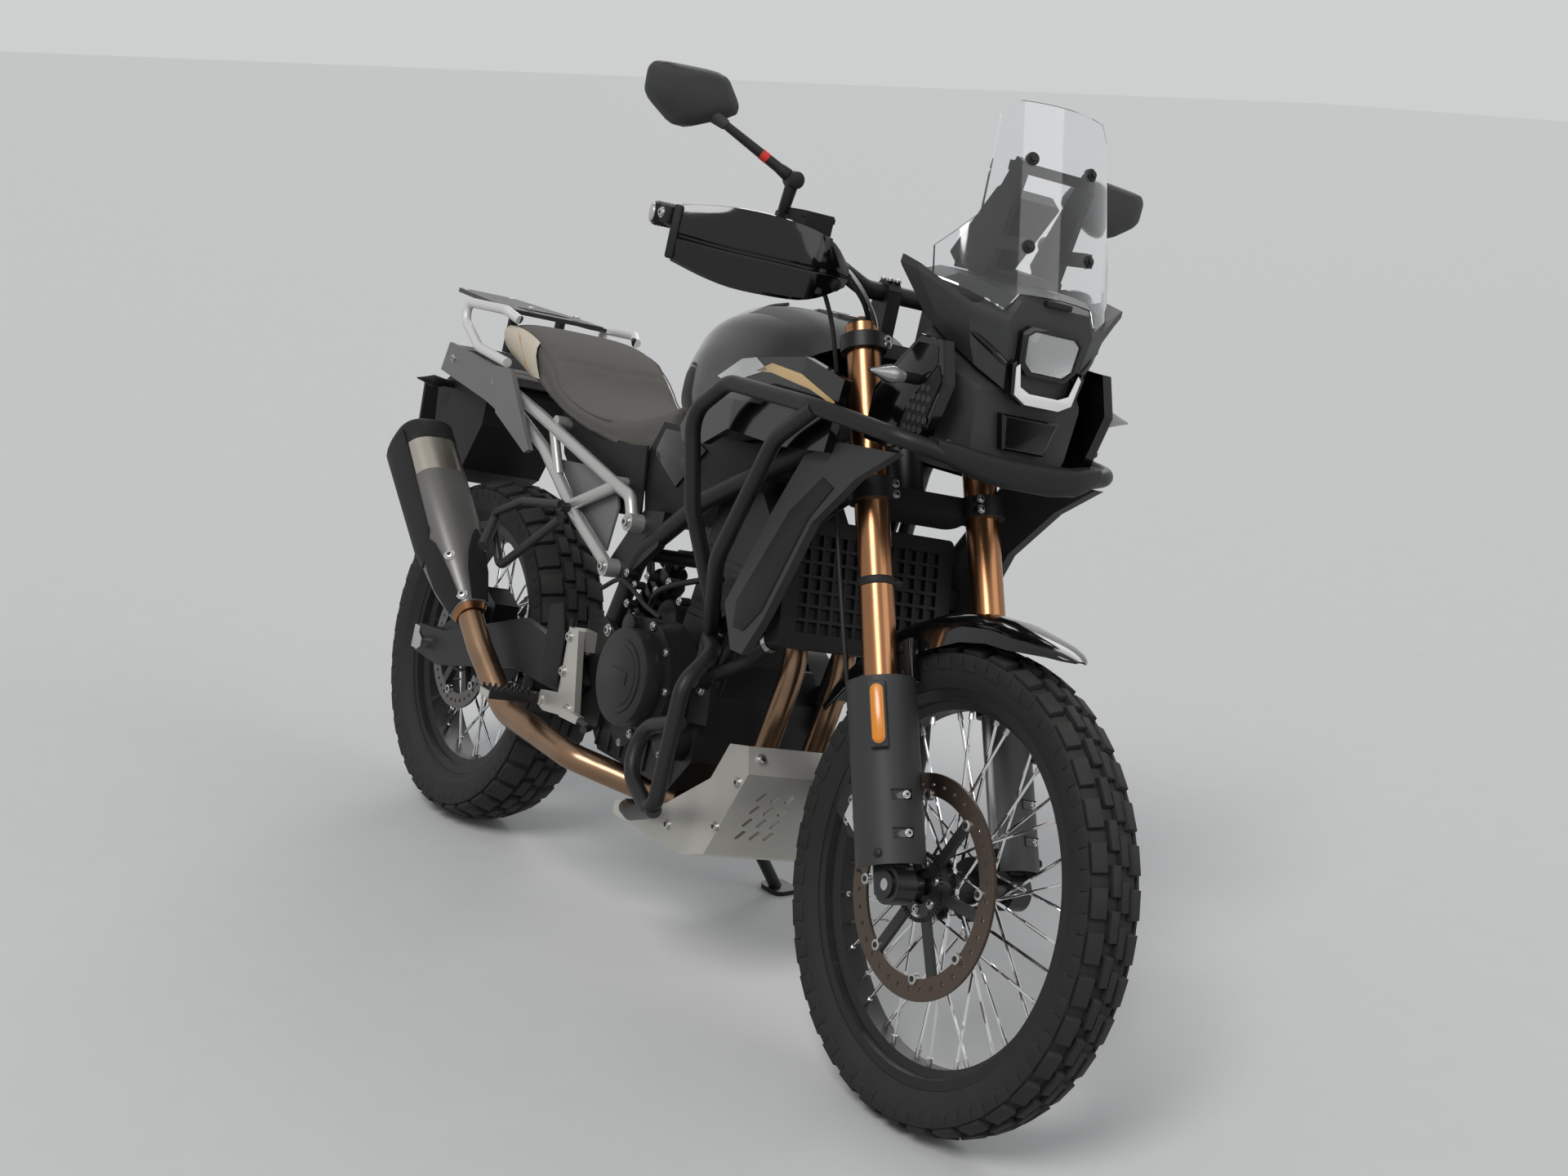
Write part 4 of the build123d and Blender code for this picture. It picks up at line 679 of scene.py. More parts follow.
def flowing(rows: list[tuple[float, ...]], steps: int) -> list[tuple[float, ...]]:
    """Rows of numbers joined by smooth curves.

    Args:
        rows: the rows that the curves pass.
        steps: how many rows are laid between two given ones.

    Returns:
        The denser rows.
    """
    ends = [tuple(2 * a - b for a, b in zip(rows[0], rows[1])), *rows,
            tuple(2 * a - b for a, b in zip(rows[-1], rows[-2]))]
    dense = []
    for before, start, end, after in zip(ends, ends[1:], ends[2:], ends[3:]):
        for step in range(steps):
            t = step / steps
            dense.append(tuple(
                0.5 * (2 * q + (r - p) * t + (2 * p - 5 * q + 4 * r - w) * t * t
                       + (3 * q - p - 3 * r + w) * t ** 3)
                for p, q, r, w in zip(before, start, end, after)))
    dense.append(rows[-1])
    return dense


def mirrored_ring(x: float, half: list[Pair]) -> list[Vector]:
    """A closed section square to X from its left half.

    Args:
        x: the section's place.
        half: half width and height of each corner, from the top down.

    Returns:
        The section's corners all the way round.
    """
    left = [Vector((x, y, z)) for y, z in half]
    return left + [Vector((x, -point.y, point.z)) for point in reversed(left)]


def arc_ring(centre: Vector, across: Vector, up: Vector, half: Pair, wall: float, bearings: Pair,
             count: int = 14) -> list[Vector]:
    """A strip of a rounded section, outside then inside.

    Args:
        centre: the section's middle.
        across: the way of its first half size.
        up: the way of its second half size.
        half: its two half sizes.
        wall: its thickness.
        bearings: the first and the last angle.
        count: how many steps it takes.

    Returns:
        The strip's closed outline.
    """
    outside, inside = [], []
    for step in range(count + 1):
        angle = bearings[0] + (bearings[1] - bearings[0]) * step / count
        c, s = math.cos(angle), math.sin(angle)
        flat = Vector((math.copysign(abs(c) ** (2 / 3), c), math.copysign(abs(s) ** (2 / 3), s)))
        outside.append(centre + across * flat.x * half[0] + up * flat.y * half[1])
        inside.append(centre + across * flat.x * (half[0] - wall) + up * flat.y * (half[1] - wall))
    return outside + inside[::-1]


# ---------------------------------------------------------------------------
# Wheels
# ---------------------------------------------------------------------------
@dataclass
class Wheel:
    """The visible detail of one wheel: tyre, tread lugs, spokes, nipples and disc bobbins."""

    name: str
    body: Body
    axle: Vector
    radius: float
    rim: float
    rim_half: float
    tread: float
    drop: float
    hub_flange: float
    flange_y: float
    disc: float
    disc_band: float
    disc_y: float
    lug_pitch: int = 36
    groove: float = 15.0
    lug_height: float = 9.0
    spokes: int = 36
    swing: float = 48.0
    spoke_radius: float = 2.45

    def crown(self, y: float) -> float:
        """The tread's radius this far from the wheel's middle plane."""
        crown_radius = (self.tread ** 2 + self.drop ** 2) / (2 * self.drop)
        return self.radius - crown_radius + math.sqrt(crown_radius ** 2 - y ** 2)

    def tyre(self) -> None:
        """The carcass spun from its section, with its tread lugs."""
        shape = Shape()
        base = self.lug_height
        shoulder = self.radius - self.drop
        half = [(0.0, self.radius - base), (self.tread * 0.35, self.crown(self.tread * 0.35) - base),
                (self.tread * 0.72, self.crown(self.tread * 0.72) - base),
                (self.tread * 0.93, shoulder - base * 0.9), (self.tread * 0.97, shoulder - base - 9),
                (self.tread * 0.96, self.rim + 34), (self.tread * 0.90, self.rim + 18),
                (self.rim_half + 4.5, self.rim + 8), (self.rim_half + 3.0, self.rim + 5.5),
                (self.rim_half + 1.0, self.rim + 0.6), (self.rim_half - 6, self.rim + 0.6),
                (self.rim_half - 6, self.rim - 8)]
        profile = [(-y, r) for y, r in reversed(half[1:])] + half
        verts = [shape.bm.verts.new(self.axle + Vector((0, y, r))) for y, r in profile]
        edges = [shape.bm.edges.new(pair) for pair in zip(verts, verts[1:] + verts[:1])]
        bmesh.ops.spin(shape.bm, geom=verts + edges, cent=self.axle, axis=(0, 1, 0), dvec=(0, 0, 0),
                       angle=math.tau, steps=96, use_merge=True)
        shape.close(TYRE_RUBBER)
        first = len(shape.bm.faces)
        pitch = math.tau / self.lug_pitch
        arc = self.radius * pitch
        side_y = (self.groove + 6 + self.tread) / 2 - 1
        side_w = self.tread - self.groove - 6 - 2
        for y, turn, width, length in (
            (-self.groove * 0.52, 0.0, self.groove * 0.92, arc * 0.72),
            (self.groove * 0.52, 0.34, self.groove * 0.92, arc * 0.72),
            (side_y, 0.5, side_w, arc * 0.7), (-side_y, 0.5, side_w, arc * 0.7),
        ):
            self.lug(shape, y, turn * pitch, width, length)
        for flank in (1, -1):
            for turn, long in ((0.5, 15.0), (0.0, 9.0)):
                self.side_lug(shape, flank, turn * pitch, arc * 0.52, long)
        shape.repeat_about(self.axle, self.lug_pitch, first)
        tyre = shape.finish(f"{self.name}_tyre", self.body, sharp=30, slot="tyre")
        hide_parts(f"{self.name}_tyre")

    def lug(self, shape: Shape, y: float, angle: float, width: float, length: float) -> None:
        """One tread block, set square to the crown.

        Args:
            shape: the tyre in the making.
            y: its place across the tread.
            angle: its place around the wheel.
            width: its size across the tread.
            length: its size around the wheel.
        """
        crown_radius = (self.tread ** 2 + self.drop ** 2) / (2 * self.drop)
        tilt = math.asin(y / crown_radius)
        lean = Matrix.Rotation(angle, 3, "Y") @ Matrix.Rotation(-tilt, 3, "X")
        out = lean @ Vector((0, 0, 1))
        foot = self.axle + Matrix.Rotation(angle, 3, "Y") @ Vector((0, y, self.crown(y)))
        tall = self.lug_height + 3
        sag = length ** 2 / (8 * self.radius) + width ** 2 / (8 * crown_radius)
        shape.block(foot - out * (tall / 2 + sag * 0.25), (length, width, tall), TYRE_RUBBER, 1.0, lean, 0.93)

    def side_lug(self, shape: Shape, flank: int, angle: float, length: float, drop: float) -> None:
        """One small block on the tyre's shoulder.

        Args:
            shape: the tyre in the making.
            flank: 1 on the left, -1 on the right.
            angle: its place around the wheel.
            length: its size around the wheel.
            drop: its size down the sidewall.
        """
        spin = Matrix.Rotation(angle, 3, "Y")
        reach = self.radius - self.drop - 8 - drop / 2
        shape.block(self.axle + spin @ Vector((0, flank * (self.tread * 0.955 - 1.5), reach)),
                    (length, 5.0, drop + 8), TYRE_RUBBER, 0.9, spin)

    def spoke_ends(self, index: int) -> tuple[Vector, Vector]:
        """The hub end and the rim end of one spoke."""
        flank = 1 if index % 2 else -1
        swing = self.swing if index % 4 < 2 else -self.swing
        rim_angle = math.radians(index * 360 / self.spokes)
        hub_angle = rim_angle + math.radians(swing)
        foot = around(self.axle, self.hub_flange - 3, hub_angle, flank * self.flange_y)
        return foot, around(self.axle, self.rim - 26.5, rim_angle, flank * 6.0)

    def lacing(self) -> None:
        """Bright spokes with their nipples and hub bends."""
        shape = Shape()
        for index in range(self.spokes):
            foot, head = self.spoke_ends(index)
            along = (head - foot).normalized()
            flank = 1 if index % 2 else -1
            shape.rod(foot - along * 3, head, self.spoke_radius, CHROME, 8)
            shape.rod(head - along * 15, head + along * 1.0, 4.2, STEEL, 8, 3.2)
            shape.rod(foot + Vector((0, -flank * 2.0, 0)), foot + Vector((0, flank * 5.0, 0)), 4.4, STEEL, 8)
        shape.finish(f"{self.name}_spokes", self.body, slot="steel")

    def disc_details(self) -> None:
        """Floating bobbins, carrier bolts and a toothed speed ring."""
        shape = Shape()
        reach, face = self.disc - self.disc_band + 1, self.disc_y
        bobbins = 8 if self.disc > 140 else 6
        for index in range(bobbins):
            at = around(self.axle, reach, math.tau * (index + 0.3) / bobbins, face)
            for inner, outer, radius, finish, sides, bevel in ((4, 5.5, 8.5, STEEL, 16, 1.0),
                                                               (4.5, 6.2, 4.5, DARK_ALLOY, 12, 0.0)):
                shape.rod(at + Vector((0, inner, 0)), at - Vector((0, outer, 0)), radius, finish, sides,
                          bevel=bevel)
        for index in range(6):
            shape.bolt(around(self.axle, 33, math.tau * (index + 0.5) / 6, face - 2), (0, -1, 0), 5.0)
        for index in range(48):
            angle = math.tau * index / 48
            shape.block(around(self.axle, 47, angle, face - 3.0), (6.5, 2.4, 3.4), BLACK_PAINT,
                        turn=Matrix.Rotation(-angle, 3, "Y"))
        shape.finish(f"{self.name}_disc_bobbins", self.body, slot="steel")

    def build(self) -> None:
        """Makes every piece of the wheel."""
        self.tyre()
        self.lacing()
        self.disc_details()


# ---------------------------------------------------------------------------
# Fork, bar and front end
# ---------------------------------------------------------------------------
@dataclass
class FrontEnd:
    """Bolts, slots and reflectors of the fork, and the bar's fittings."""

    tube_radius: float = 25.5
    lower_clamp: Pair = (560.0, 592.0)
    upper_clamp: Pair = (792.0, 816.0)
    guard_radius: float = 50.0
    # bearing about the axle, half width and height of the mudguard's cheeks
    crown_stations: tuple = ((152, 58, 30), (143, 60, 40), (132, 61, 54), (120, 61, 62), (108, 61, 58),
                             (97, 60, 46), (88, 57, 37), (81, 54, 31))
    # x, z of the crest, half width and height of its beak
    beak_stations: tuple = ((1596, 732, 47, 23), (1622, 727, 36, 15), (1642, 721.5, 23, 9),
                            (1654, 717.5, 9, 4))
    # x, y, underside and top of the handguards from the grip's inner end outwards
    guard_rows: tuple = ((1142, 165, 1138, 1174), (1151, 200, 1120, 1200), (1149, 240, 1107, 1213),
                         (1131, 288, 1103, 1219), (1107, 334, 1103, 1219), (1080, 370, 1110, 1214),
                         (1048, 405, 1122, 1206))
    # reach out of the handguard's middle surface and share of its height, outside then inside
    guard_section: tuple = ((0, 0.0), (5, 0.04), (8.5, 0.30), (9.5, 0.40), (5.5, 0.44), (5.5, 0.47),
                            (8.0, 0.50),
                            (6.5, 0.86), (2.0, 0.98), (-2.5, 0.99), (-3.5, 0.85), (-1.5, 0.50), (-1.5, 0.40),
                            (-3.5, 0.06))
    # left and up corners of the right mirror's face
    mirror_outline: tuple = ((43, 44), (-66, 37), (-76, 24), (-74, -14), (-14, -51), (75, -13), (76, 4))

    def clamps(self) -> None:
        """Clamp bolts, top caps and the tubes' band clamps."""
        shape = Shape()
        for side in Side:
            y = side.value * LEG_Y
            for low, high in (self.lower_clamp, self.upper_clamp):
                for height in (low + 8, high - 8):
                    at = steer_point(LEG_OFFSET + self.tube_radius * 0.62, y - side.value * 24, height)
                    shape.rod(at, at + AHEAD * 13, 7.0, BLACK_PAINT, 16, bevel=1.0)
                    shape.bolt(at + AHEAD * 12, AHEAD, 5.2)
            top = steer_point(LEG_OFFSET, y, 833)
            shape.rod(top - UP * 2, top + UP * 7, 22, BLACK_PAINT, 32, bevel=1.5)
            shape.rod(top + UP * 5, top + UP * 14, 10, BRONZE, 6, bevel=0.8)
            foot = steer_point(LEG_OFFSET, y, 262)
            shape.rod(foot - UP * 4, foot + UP * 10, self.tube_radius + 2.5, BLACK_PAINT, 40, bevel=1.2)
        stem = steer_point(0, 0, 826)
        shape.rod(stem - UP * 6, stem + UP * 6, 15, STEEL, 6, bevel=1.0)
        band = steer_point(LEG_OFFSET, -LEG_Y, 432)
        shape.rod(band, band + UP * 12, self.tube_radius + 2.0, MATTE_BLACK, 40, bevel=1.0)
        shape.block(band + AHEAD * 8 + Vector((0, 30, 0)) + UP * 6, (14, 14, 12), MATTE_BLACK, 1.5)
        shape.finish("clamp_bolts", Body.STEERING, slot="steel")

    def guards(self) -> None:
        """Slots painted as flat dark glossy patches that stand in for the shade inside the openings, bolts
        and the round-ended amber reflector on the fork guards.
        """
        shape = Shape()
        layers = ((4.0, 12.0, 92, CHARCOAL, 1.0), (5.0, 9.6, 86, AMBER, 1.8), (7.0, 6.4, 80, AMBER, 0.8))
        for side in Side:
            leg_y = side.value * LEG_Y
            for height in (66, 120):
                turn = 0.25 * side.value
                out = AHEAD * math.cos(turn) + Vector((0, math.sin(turn), 0))
                at = steer_point(LEG_OFFSET, leg_y, height) + out * (self.guard_radius - 0.4)
                square = Matrix((out, UP.cross(out), UP)).transposed()
                # each slot is a flat dark glossy patch laid on the guard's face: painted shade in place of an
                # open slot
                shape.block(at, (1.8, 30, 13), SCREEN_GLASS, 0.8, square)
                shape.block(at + UP * 7.0 + out * 0.6, (2.6, 33, 2.2), MATTE_BLACK, 0.9, square)
                shape.bolt(at + UP.cross(out) * 7 + out * 0.4, out, 4.2)
            out = (AHEAD + side.out * 1.6).normalized()
            shape.bolt(steer_point(LEG_OFFSET, leg_y, 40) + out * self.guard_radius, out, 5.0, BLACK_PAINT)
            out = (AHEAD + side.out).normalized()
            at = steer_point(LEG_OFFSET, leg_y, 234) + out * (self.guard_radius + 4.5)
            shape.block(at, (11.0, 26, 96), CHARCOAL, 2.5, Matrix((out, UP.cross(out), UP)).transposed())
            for lift, half, length, finish, bevel in layers:
                outline = []
                for step in range(18):
                    end = 1 if step < 9 else -1
                    angle = math.pi * (step % 9 / 8 + (step >= 9))
                    outline.append(at + out * lift + UP.cross(out) * half * math.cos(angle)
                                   + UP * (end * (length / 2 - half) + half * math.sin(angle)))
                shape.plate(outline, out * 3.0, finish, bevel)
        shape.finish("guard_fittings", Body.STEERING, slot="amber")

    def axle_ends(self) -> None:
        """Axle nuts, pinch bolts and the caliper's pistons and pins."""
        shape = Shape()
        for side in Side:
            face = steer_point(STEM_OFFSET, side.value * 125.4, 0)
            shape.rod(face - side.out * 3, face - side.out * 0.6, 17.5, STEEL, 6)
            for height in (-4.0, 9.0):
                at = steer_point(STEM_OFFSET - 30, side.value * 104, height)
                shape.bolt(at, -AHEAD, 5.0)
        for along, height in ((-48, 138), (-18, 88), (-62, 112), (-34, 110)):
            at = steer_point(along, -92.4, height)
            shape.bolt(at, (0, -1, 0), 6.5 if along != -34 else 10.0)
        for along, height in ((-50, 98), (-24, 128)):
            at = steer_point(along, -92.0, height)
            shape.rod(at, at - Vector((0, 3.0, 0)), 15, DARK_ALLOY, 28, bevel=1.2)
        shape.finish("axle_fittings", Body.STEERING, slot="steel")

    def fender(self) -> None:
        """The beaked mudguard as a curved skin with deep cheeks, a bracket and its bolts."""
        shape = Shape()
        rings = []
        for angle, half, skirt in self.crown_stations:
            out = around(Vector((0, 0, 0)), 1.0, math.radians(angle))
            rings.append(self.arch(FRONT_AXLE + out * (393.0 - skirt), out, half, skirt, 3.0))
        for x, z, half, skirt in self.beak_stations:
            rings.append(self.arch(Vector((x, 0, z - skirt)), Vector((0.18, 0, 1)).normalized(), half, skirt,
                                   2.4))
        shape.loft(rings, GLOSS_BLACK)
        square = Matrix((AHEAD, Vector((0, 1, 0)), UP)).transposed()
        for side in Side:
            y, brace = side.value, LEG_OFFSET + 22
            foot = steer_point(brace, y * 70, 320)
            shape.block(foot, (34, 17, 66), GLOSS_BLACK, 3.0, square)
            shape.block(foot + side.out * 9.5, (26, 3, 58), MATTE_BLACK, 1.2, square)
            for height in (302, 338):
                shape.bolt(steer_point(brace, y * 80.8, height), side.out, 5.5, BLACK_PAINT)
            shape.rod(steer_point(LEG_OFFSET + 6, y * 64, 312), steer_point(LEG_OFFSET + 6, y * 82, 312), 9,
                      BLACK_PAINT, 20)
        fender = shape.finish("mudguard_skin", Body.STEERING, slot="gloss_black")
        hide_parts("front_fender")

    @staticmethod
    def arch(centre: Vector, out: Vector, half: float, skirt: float, wall: float) -> list[Vector]:
        """One arched section of the mudguard, outer skin then inner skin.

        Args:
            centre: the middle between its two lower edges.
            out: the way of its crown.
            half: its half width.
            skirt: its height.
            wall: its thickness.

        Returns:
            The ring of points.
        """
        points = []
        for sign, grow in ((1, 0.0), (-1, -wall)):
            for step in range(13):
                angle = math.pi * step / 12
                y = math.cos(angle) * (half + grow) * sign
                lift = (abs(math.sin(angle)) ** 0.55) * (skirt + grow)
                points.append(centre + Vector((0, y, 0)) + out * lift)
        return points

    def bar_fittings(self) -> None:
        """Grips, bar clamp bolts, the fluid reservoir and the cables to the upper clamp."""
        shape = Shape()
        for side in Side:
            y = side.value
            rise, end = side.at(1080, 190, 1188), side.at(1004, 424, 1185)
            along = (end - rise).normalized()
            for step in range(24):
                at = end - along * (8 + step * 5)
                shape.rod(at, at + along * 3.0, 17.9, RUBBER, 20)
            for depth in (-9, 9):
                for shift in (-7, 7):
                    shape.bolt((1092 + depth, y * 48 + shift, 1166), (0, 0, 1), 4.6)
            shape.rod(end - along * 2, end + along * 3, 14, STEEL, 20, bevel=1.5)
            cable = ((1072, 232, 1180), (1120, 190, 1176), (1146, 128, 1128), (1130, 84, 1064),
                     (1118, 60, 1000))
            shape.pipe([side.at(*point) for point in cable], 4.0, RUBBER, 10)
        shape.pipe([(1084, -206, 1188), (1136, -160, 1166), (1150, -104, 1108), (1134, -72, 1044),
                    (1122, -52, 1000)],
                   3.2, STEEL, 10)
        tank = Vector((1098, -216, 1214))
        shape.block(tank, (42, 54, 26), FLUID, 5.0)
        shape.block(tank + Vector((0, 0, 15)), (45.5, 57.5, 9), MATTE_BLACK, 2.0)
        shape.block(tank + Vector((0, 0, 19.5)), (30, 40, 2.4), GLOSS_BLACK, 1.0)
        shape.finish("bar_fittings", Body.STEERING, slot="matte_black")

    def handguards(self) -> None:
        """Gloss guards with a ridge, a parting groove, a grey clamp and a matte end cap."""
        shape = Shape()
        stations = flowing(list(self.guard_rows), 3)
        for side in Side:
            y = side.value
            rings = []
            for index, (x, wide, low, high) in enumerate(stations):
                after = stations[min(index + 1, len(stations) - 1)]
                before = stations[max(index - 1, 0)]
                along = Vector((after[0] - before[0], after[1] - before[1], 0)).normalized()
                rings.append([side.at(x + along.y * (reach - 2), wide - along.x * (reach - 2),
                                      low + (high - low) * up)
                              for reach, up in self.guard_section])
            shape.loft(rings, GLOSS_BLACK)
            shape.block(side.at(1046, 405, 1164), (13, 24, 78), MATTE_BLACK, 3.5,
                        Matrix.Rotation(-y * 0.82, 3, "Z"))
            shape.block(side.at(1026, 417, 1186), (40, 12, 26), MATTE_BLACK, 4.0)
            shape.bolt(side.at(1030, 423.2, 1187), side.out, 6.0)
            shape.block(side.at(1149, 214, 1163), (15, 13, 84), CHARCOAL, 3.0,
                        Matrix.Rotation(-y * 0.05, 3, "Z"))
            shape.block(side.at(1126, 206, 1196), (48, 13, 13), CHARCOAL, 3.0, Matrix.Rotation(0.35, 3, "Y"))
            shape.bolt(side.at(1156.5, 188, 1140), (1, 0, 0), 7.0, BLACK_PAINT, 3.0)
            shape.rod(side.at(1100, 200, 1188), side.at(1148, 196, 1160), 8.0, BLACK_PAINT, 16)
            shape.rod(side.at(1008, 417, 1185), side.at(1050, 404, 1170), 7.0, BLACK_PAINT, 16)
        guards = shape.finish("handguard_shells", Body.STEERING, slot="gloss_black")
        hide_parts("handguards")

    def mirrors(self) -> None:
        """Faceted mirror heads on ball-jointed stems."""
        shape = Shape()
        for side in Side:
            root, ball = side.at(1064, 246, 1213.5), side.at(1076, 246, 1276)
            neck, head = side.at(1008, 364, 1342), side.at(1006, 398, 1360)
            arm = (neck - ball).normalized()
            shape.rod(root, root + (ball - root) * 0.22, 10.5, BLACK_PAINT, 6)
            shape.rod(root, ball, 8.0, BLACK_PAINT, 20, 10.0)
            shape.rod(ball - Vector((12, 0, 0)), ball + Vector((12, 0, 0)), 13.0, BLACK_PAINT, 28, bevel=2.5)
            shape.rod(ball, neck + arm * 12, 8.5, BLACK_PAINT, 20, 6.0)
            shape.rod(ball + arm * 10, ball + arm * 26, 10.0, MATTE_BLACK, 20, 8.5, bevel=1.0)
            shape.rod(ball + arm * 48, ball + arm * 60, 8.1, RED_BAND, 20)
            shape.rod(neck - arm * 26, neck + arm * 16, 8.0, CHARCOAL, 20, 14.0)
            rings = []
            for x, shrink, lift in ((-15.5, 0.90, 0), (-17, 0.90, 0), (-17, 0.93, 0), (-16, 1.0, 0),
                                    (-6, 1.02, 14), (6, 0.97, 14), (13, 0.80, 14), (17, 0.62, 14)):
                rings.append([head - side.at(-x, a * shrink, -b * shrink - (1 - shrink) * lift)
                              for a, b in self.mirror_outline])
            shape.loft([softened(points, 2, 0.16) for points in rings], CHARCOAL)
            glass = [head - side.at(15.8, a * 0.89, -b * 0.89) for a, b in self.mirror_outline]
            shape.plate(softened(glass, 2, 0.16), Vector((-0.7, 0, 0)), MIRROR_GLASS)
        mirrors = shape.finish("mirror_units", Body.STEERING, sharp=28, slot="matte_black")
        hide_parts("mirrors")

    def build(self) -> None:
        """Makes every piece of the front end."""
        self.clamps()
        self.guards()
        self.axle_ends()
        self.fender()
        self.bar_fittings()
        self.handguards()
        self.mirrors()


@dataclass
class Lamps:
    """Headlamp lenses with their bezels and reflectors, and the light bar between them."""

    front: float = 1432.2
    lower_front: float = 1420.2
    # left and up corners of each lamp and of the bar between them
    upper: tuple = ((-57, 24), (-44, 34), (44, 34), (57, 24), (52, -20), (34, -34), (-34, -34), (-52, -20))
    lower: tuple = ((-52, 24), (52, 24), (38, -26), (-38, -26))
    bar: tuple = ((-66, 40), (-60, 46), (-50, 12), (-30, 4), (30, 4), (50, 12), (60, 46), (66, 40), (58, -2),
                  (34, -14), (-34, -14), (-58, -2))
    # how far ahead of the lamp's seat and how large each step of the bezel and of the bowl is
    bezel: tuple = ((0.0, 1.0), (11.0, 1.0), (13.0, 0.9), (13.0, 0.84), (4.0, 0.80))
    bowl: tuple = ((10.5, 0.80), (5.2, 0.7), (3.6, 0.45))

    def on_face(self, x: float, outline: tuple[Pair, ...], rise: float, shrink: float = 1.0) -> list[Vector]:
        """An outline given across and up, set on a face square to X.

        Args:
            x: the face's place.
            outline: left and up from the lamp's middle.
            rise: the height of the lamp's middle.
            shrink: how much smaller it is drawn.

        Returns:
            The corner points.
        """
        return [Vector((x, y * shrink, rise + z * shrink)) for y, z in outline]

    def build(self) -> None:
        """Makes both lamps and the light bar."""
        shape = Shape()
        for outline, x, rise in ((self.upper, self.front, 1108), (self.lower, self.lower_front, 992)):
            for steps, finish in ((self.bezel, GLOSS_BLACK), (self.bowl, REFLECTOR)):
                shape.loft([self.on_face(x + ahead, outline, rise, shrink) for ahead, shrink in steps],
                           finish)
            for y in (-20, 20):
                shape.rod((x + 3.6, y, rise), (x + 8.0, y, rise), 15, CHROME, 28, 11.0)
                shape.rod((x + 8.0, y, rise), (x + 9.8, y, rise), 8, SCREEN_GLASS, 28, 6.0)
            for y in (-38, 0, 38):
                shape.block((x + 6.4, y, rise), (5.0, 2.2, 26), MATTE_BLACK, 0.5)
            shape.plate(self.on_face(x + 11.0, outline, rise, 0.83), Vector((1.6, 0, 0)), CLEAR, 0.6)
        shape.plate(self.on_face(self.front, self.bar, 1046), Vector((16.0, 0, 0)), GLOSS_BLACK, 1.5)
        shape.plate(self.on_face(self.front + 15.0, self.bar, 1046.5, 0.9), Vector((2.8, 0, 0)), LAMP_WHITE,
                    1.0)
        lamps = shape.finish("lamp_units", Body.CHASSIS, slot="lens")
        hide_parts("headlamps")


@dataclass
class Indicators:
    """Pointed indicators on ribbed stalks, and the tail lamp."""

    roots: tuple = ((1360, 156.2, 1036, 66, 17, 1), (-225, 86.2, 800, 62, 15, -1))

    def build(self) -> None:
        """Makes the four indicators and the tail lamp."""
        shape = Shape()
        for side in Side:
            for x, y, z, length, fat, facing in self.roots:
                root, out = side.at(x, y, z), side.out
                for rib in range(6):
                    shape.rod(root + out * (rib * 4.0 + 0.2), root + out * (rib * 4.0 + 2.6), 8.0, RUBBER, 20)
                shape.rod(root, root + out * 26, 6.2, RUBBER, 20)
                reaches = ((22, 6), (25, 11), (34, fat * 0.86), (46, fat), (length * 0.82, fat * 0.84),
                           (length + 4, fat * 0.42), (length + 17, 2.0))
                for finish, shift, wide in ((MATTE_BLACK, -3.0, 0.72), (SMOKED_LENS, 2.2, 0.60)):
                    rings = [ring(root + out * reach + Vector((facing * shift, 0, 0)), (1, 0, 0), (0, 0, 1),
                                  (reach_fat * wide, reach_fat * (0.80 if shift < 0 else 0.70)), 2.0, 20)
                             for reach, reach_fat in reaches[1:]]
                    shape.loft(rings, finish)
        tail = [Vector((x, 46, z)) for x, z in ((-235.1, 838), (-247.1, 868), (-263, 866), (-255, 842))]
        shape.plate(tail, Vector((0, -92, 0)), TAIL_RED, 2.0)
        lamps = shape.finish("indicator_units", Body.CHASSIS, slot="matte_black")
        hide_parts("signal_lamps")


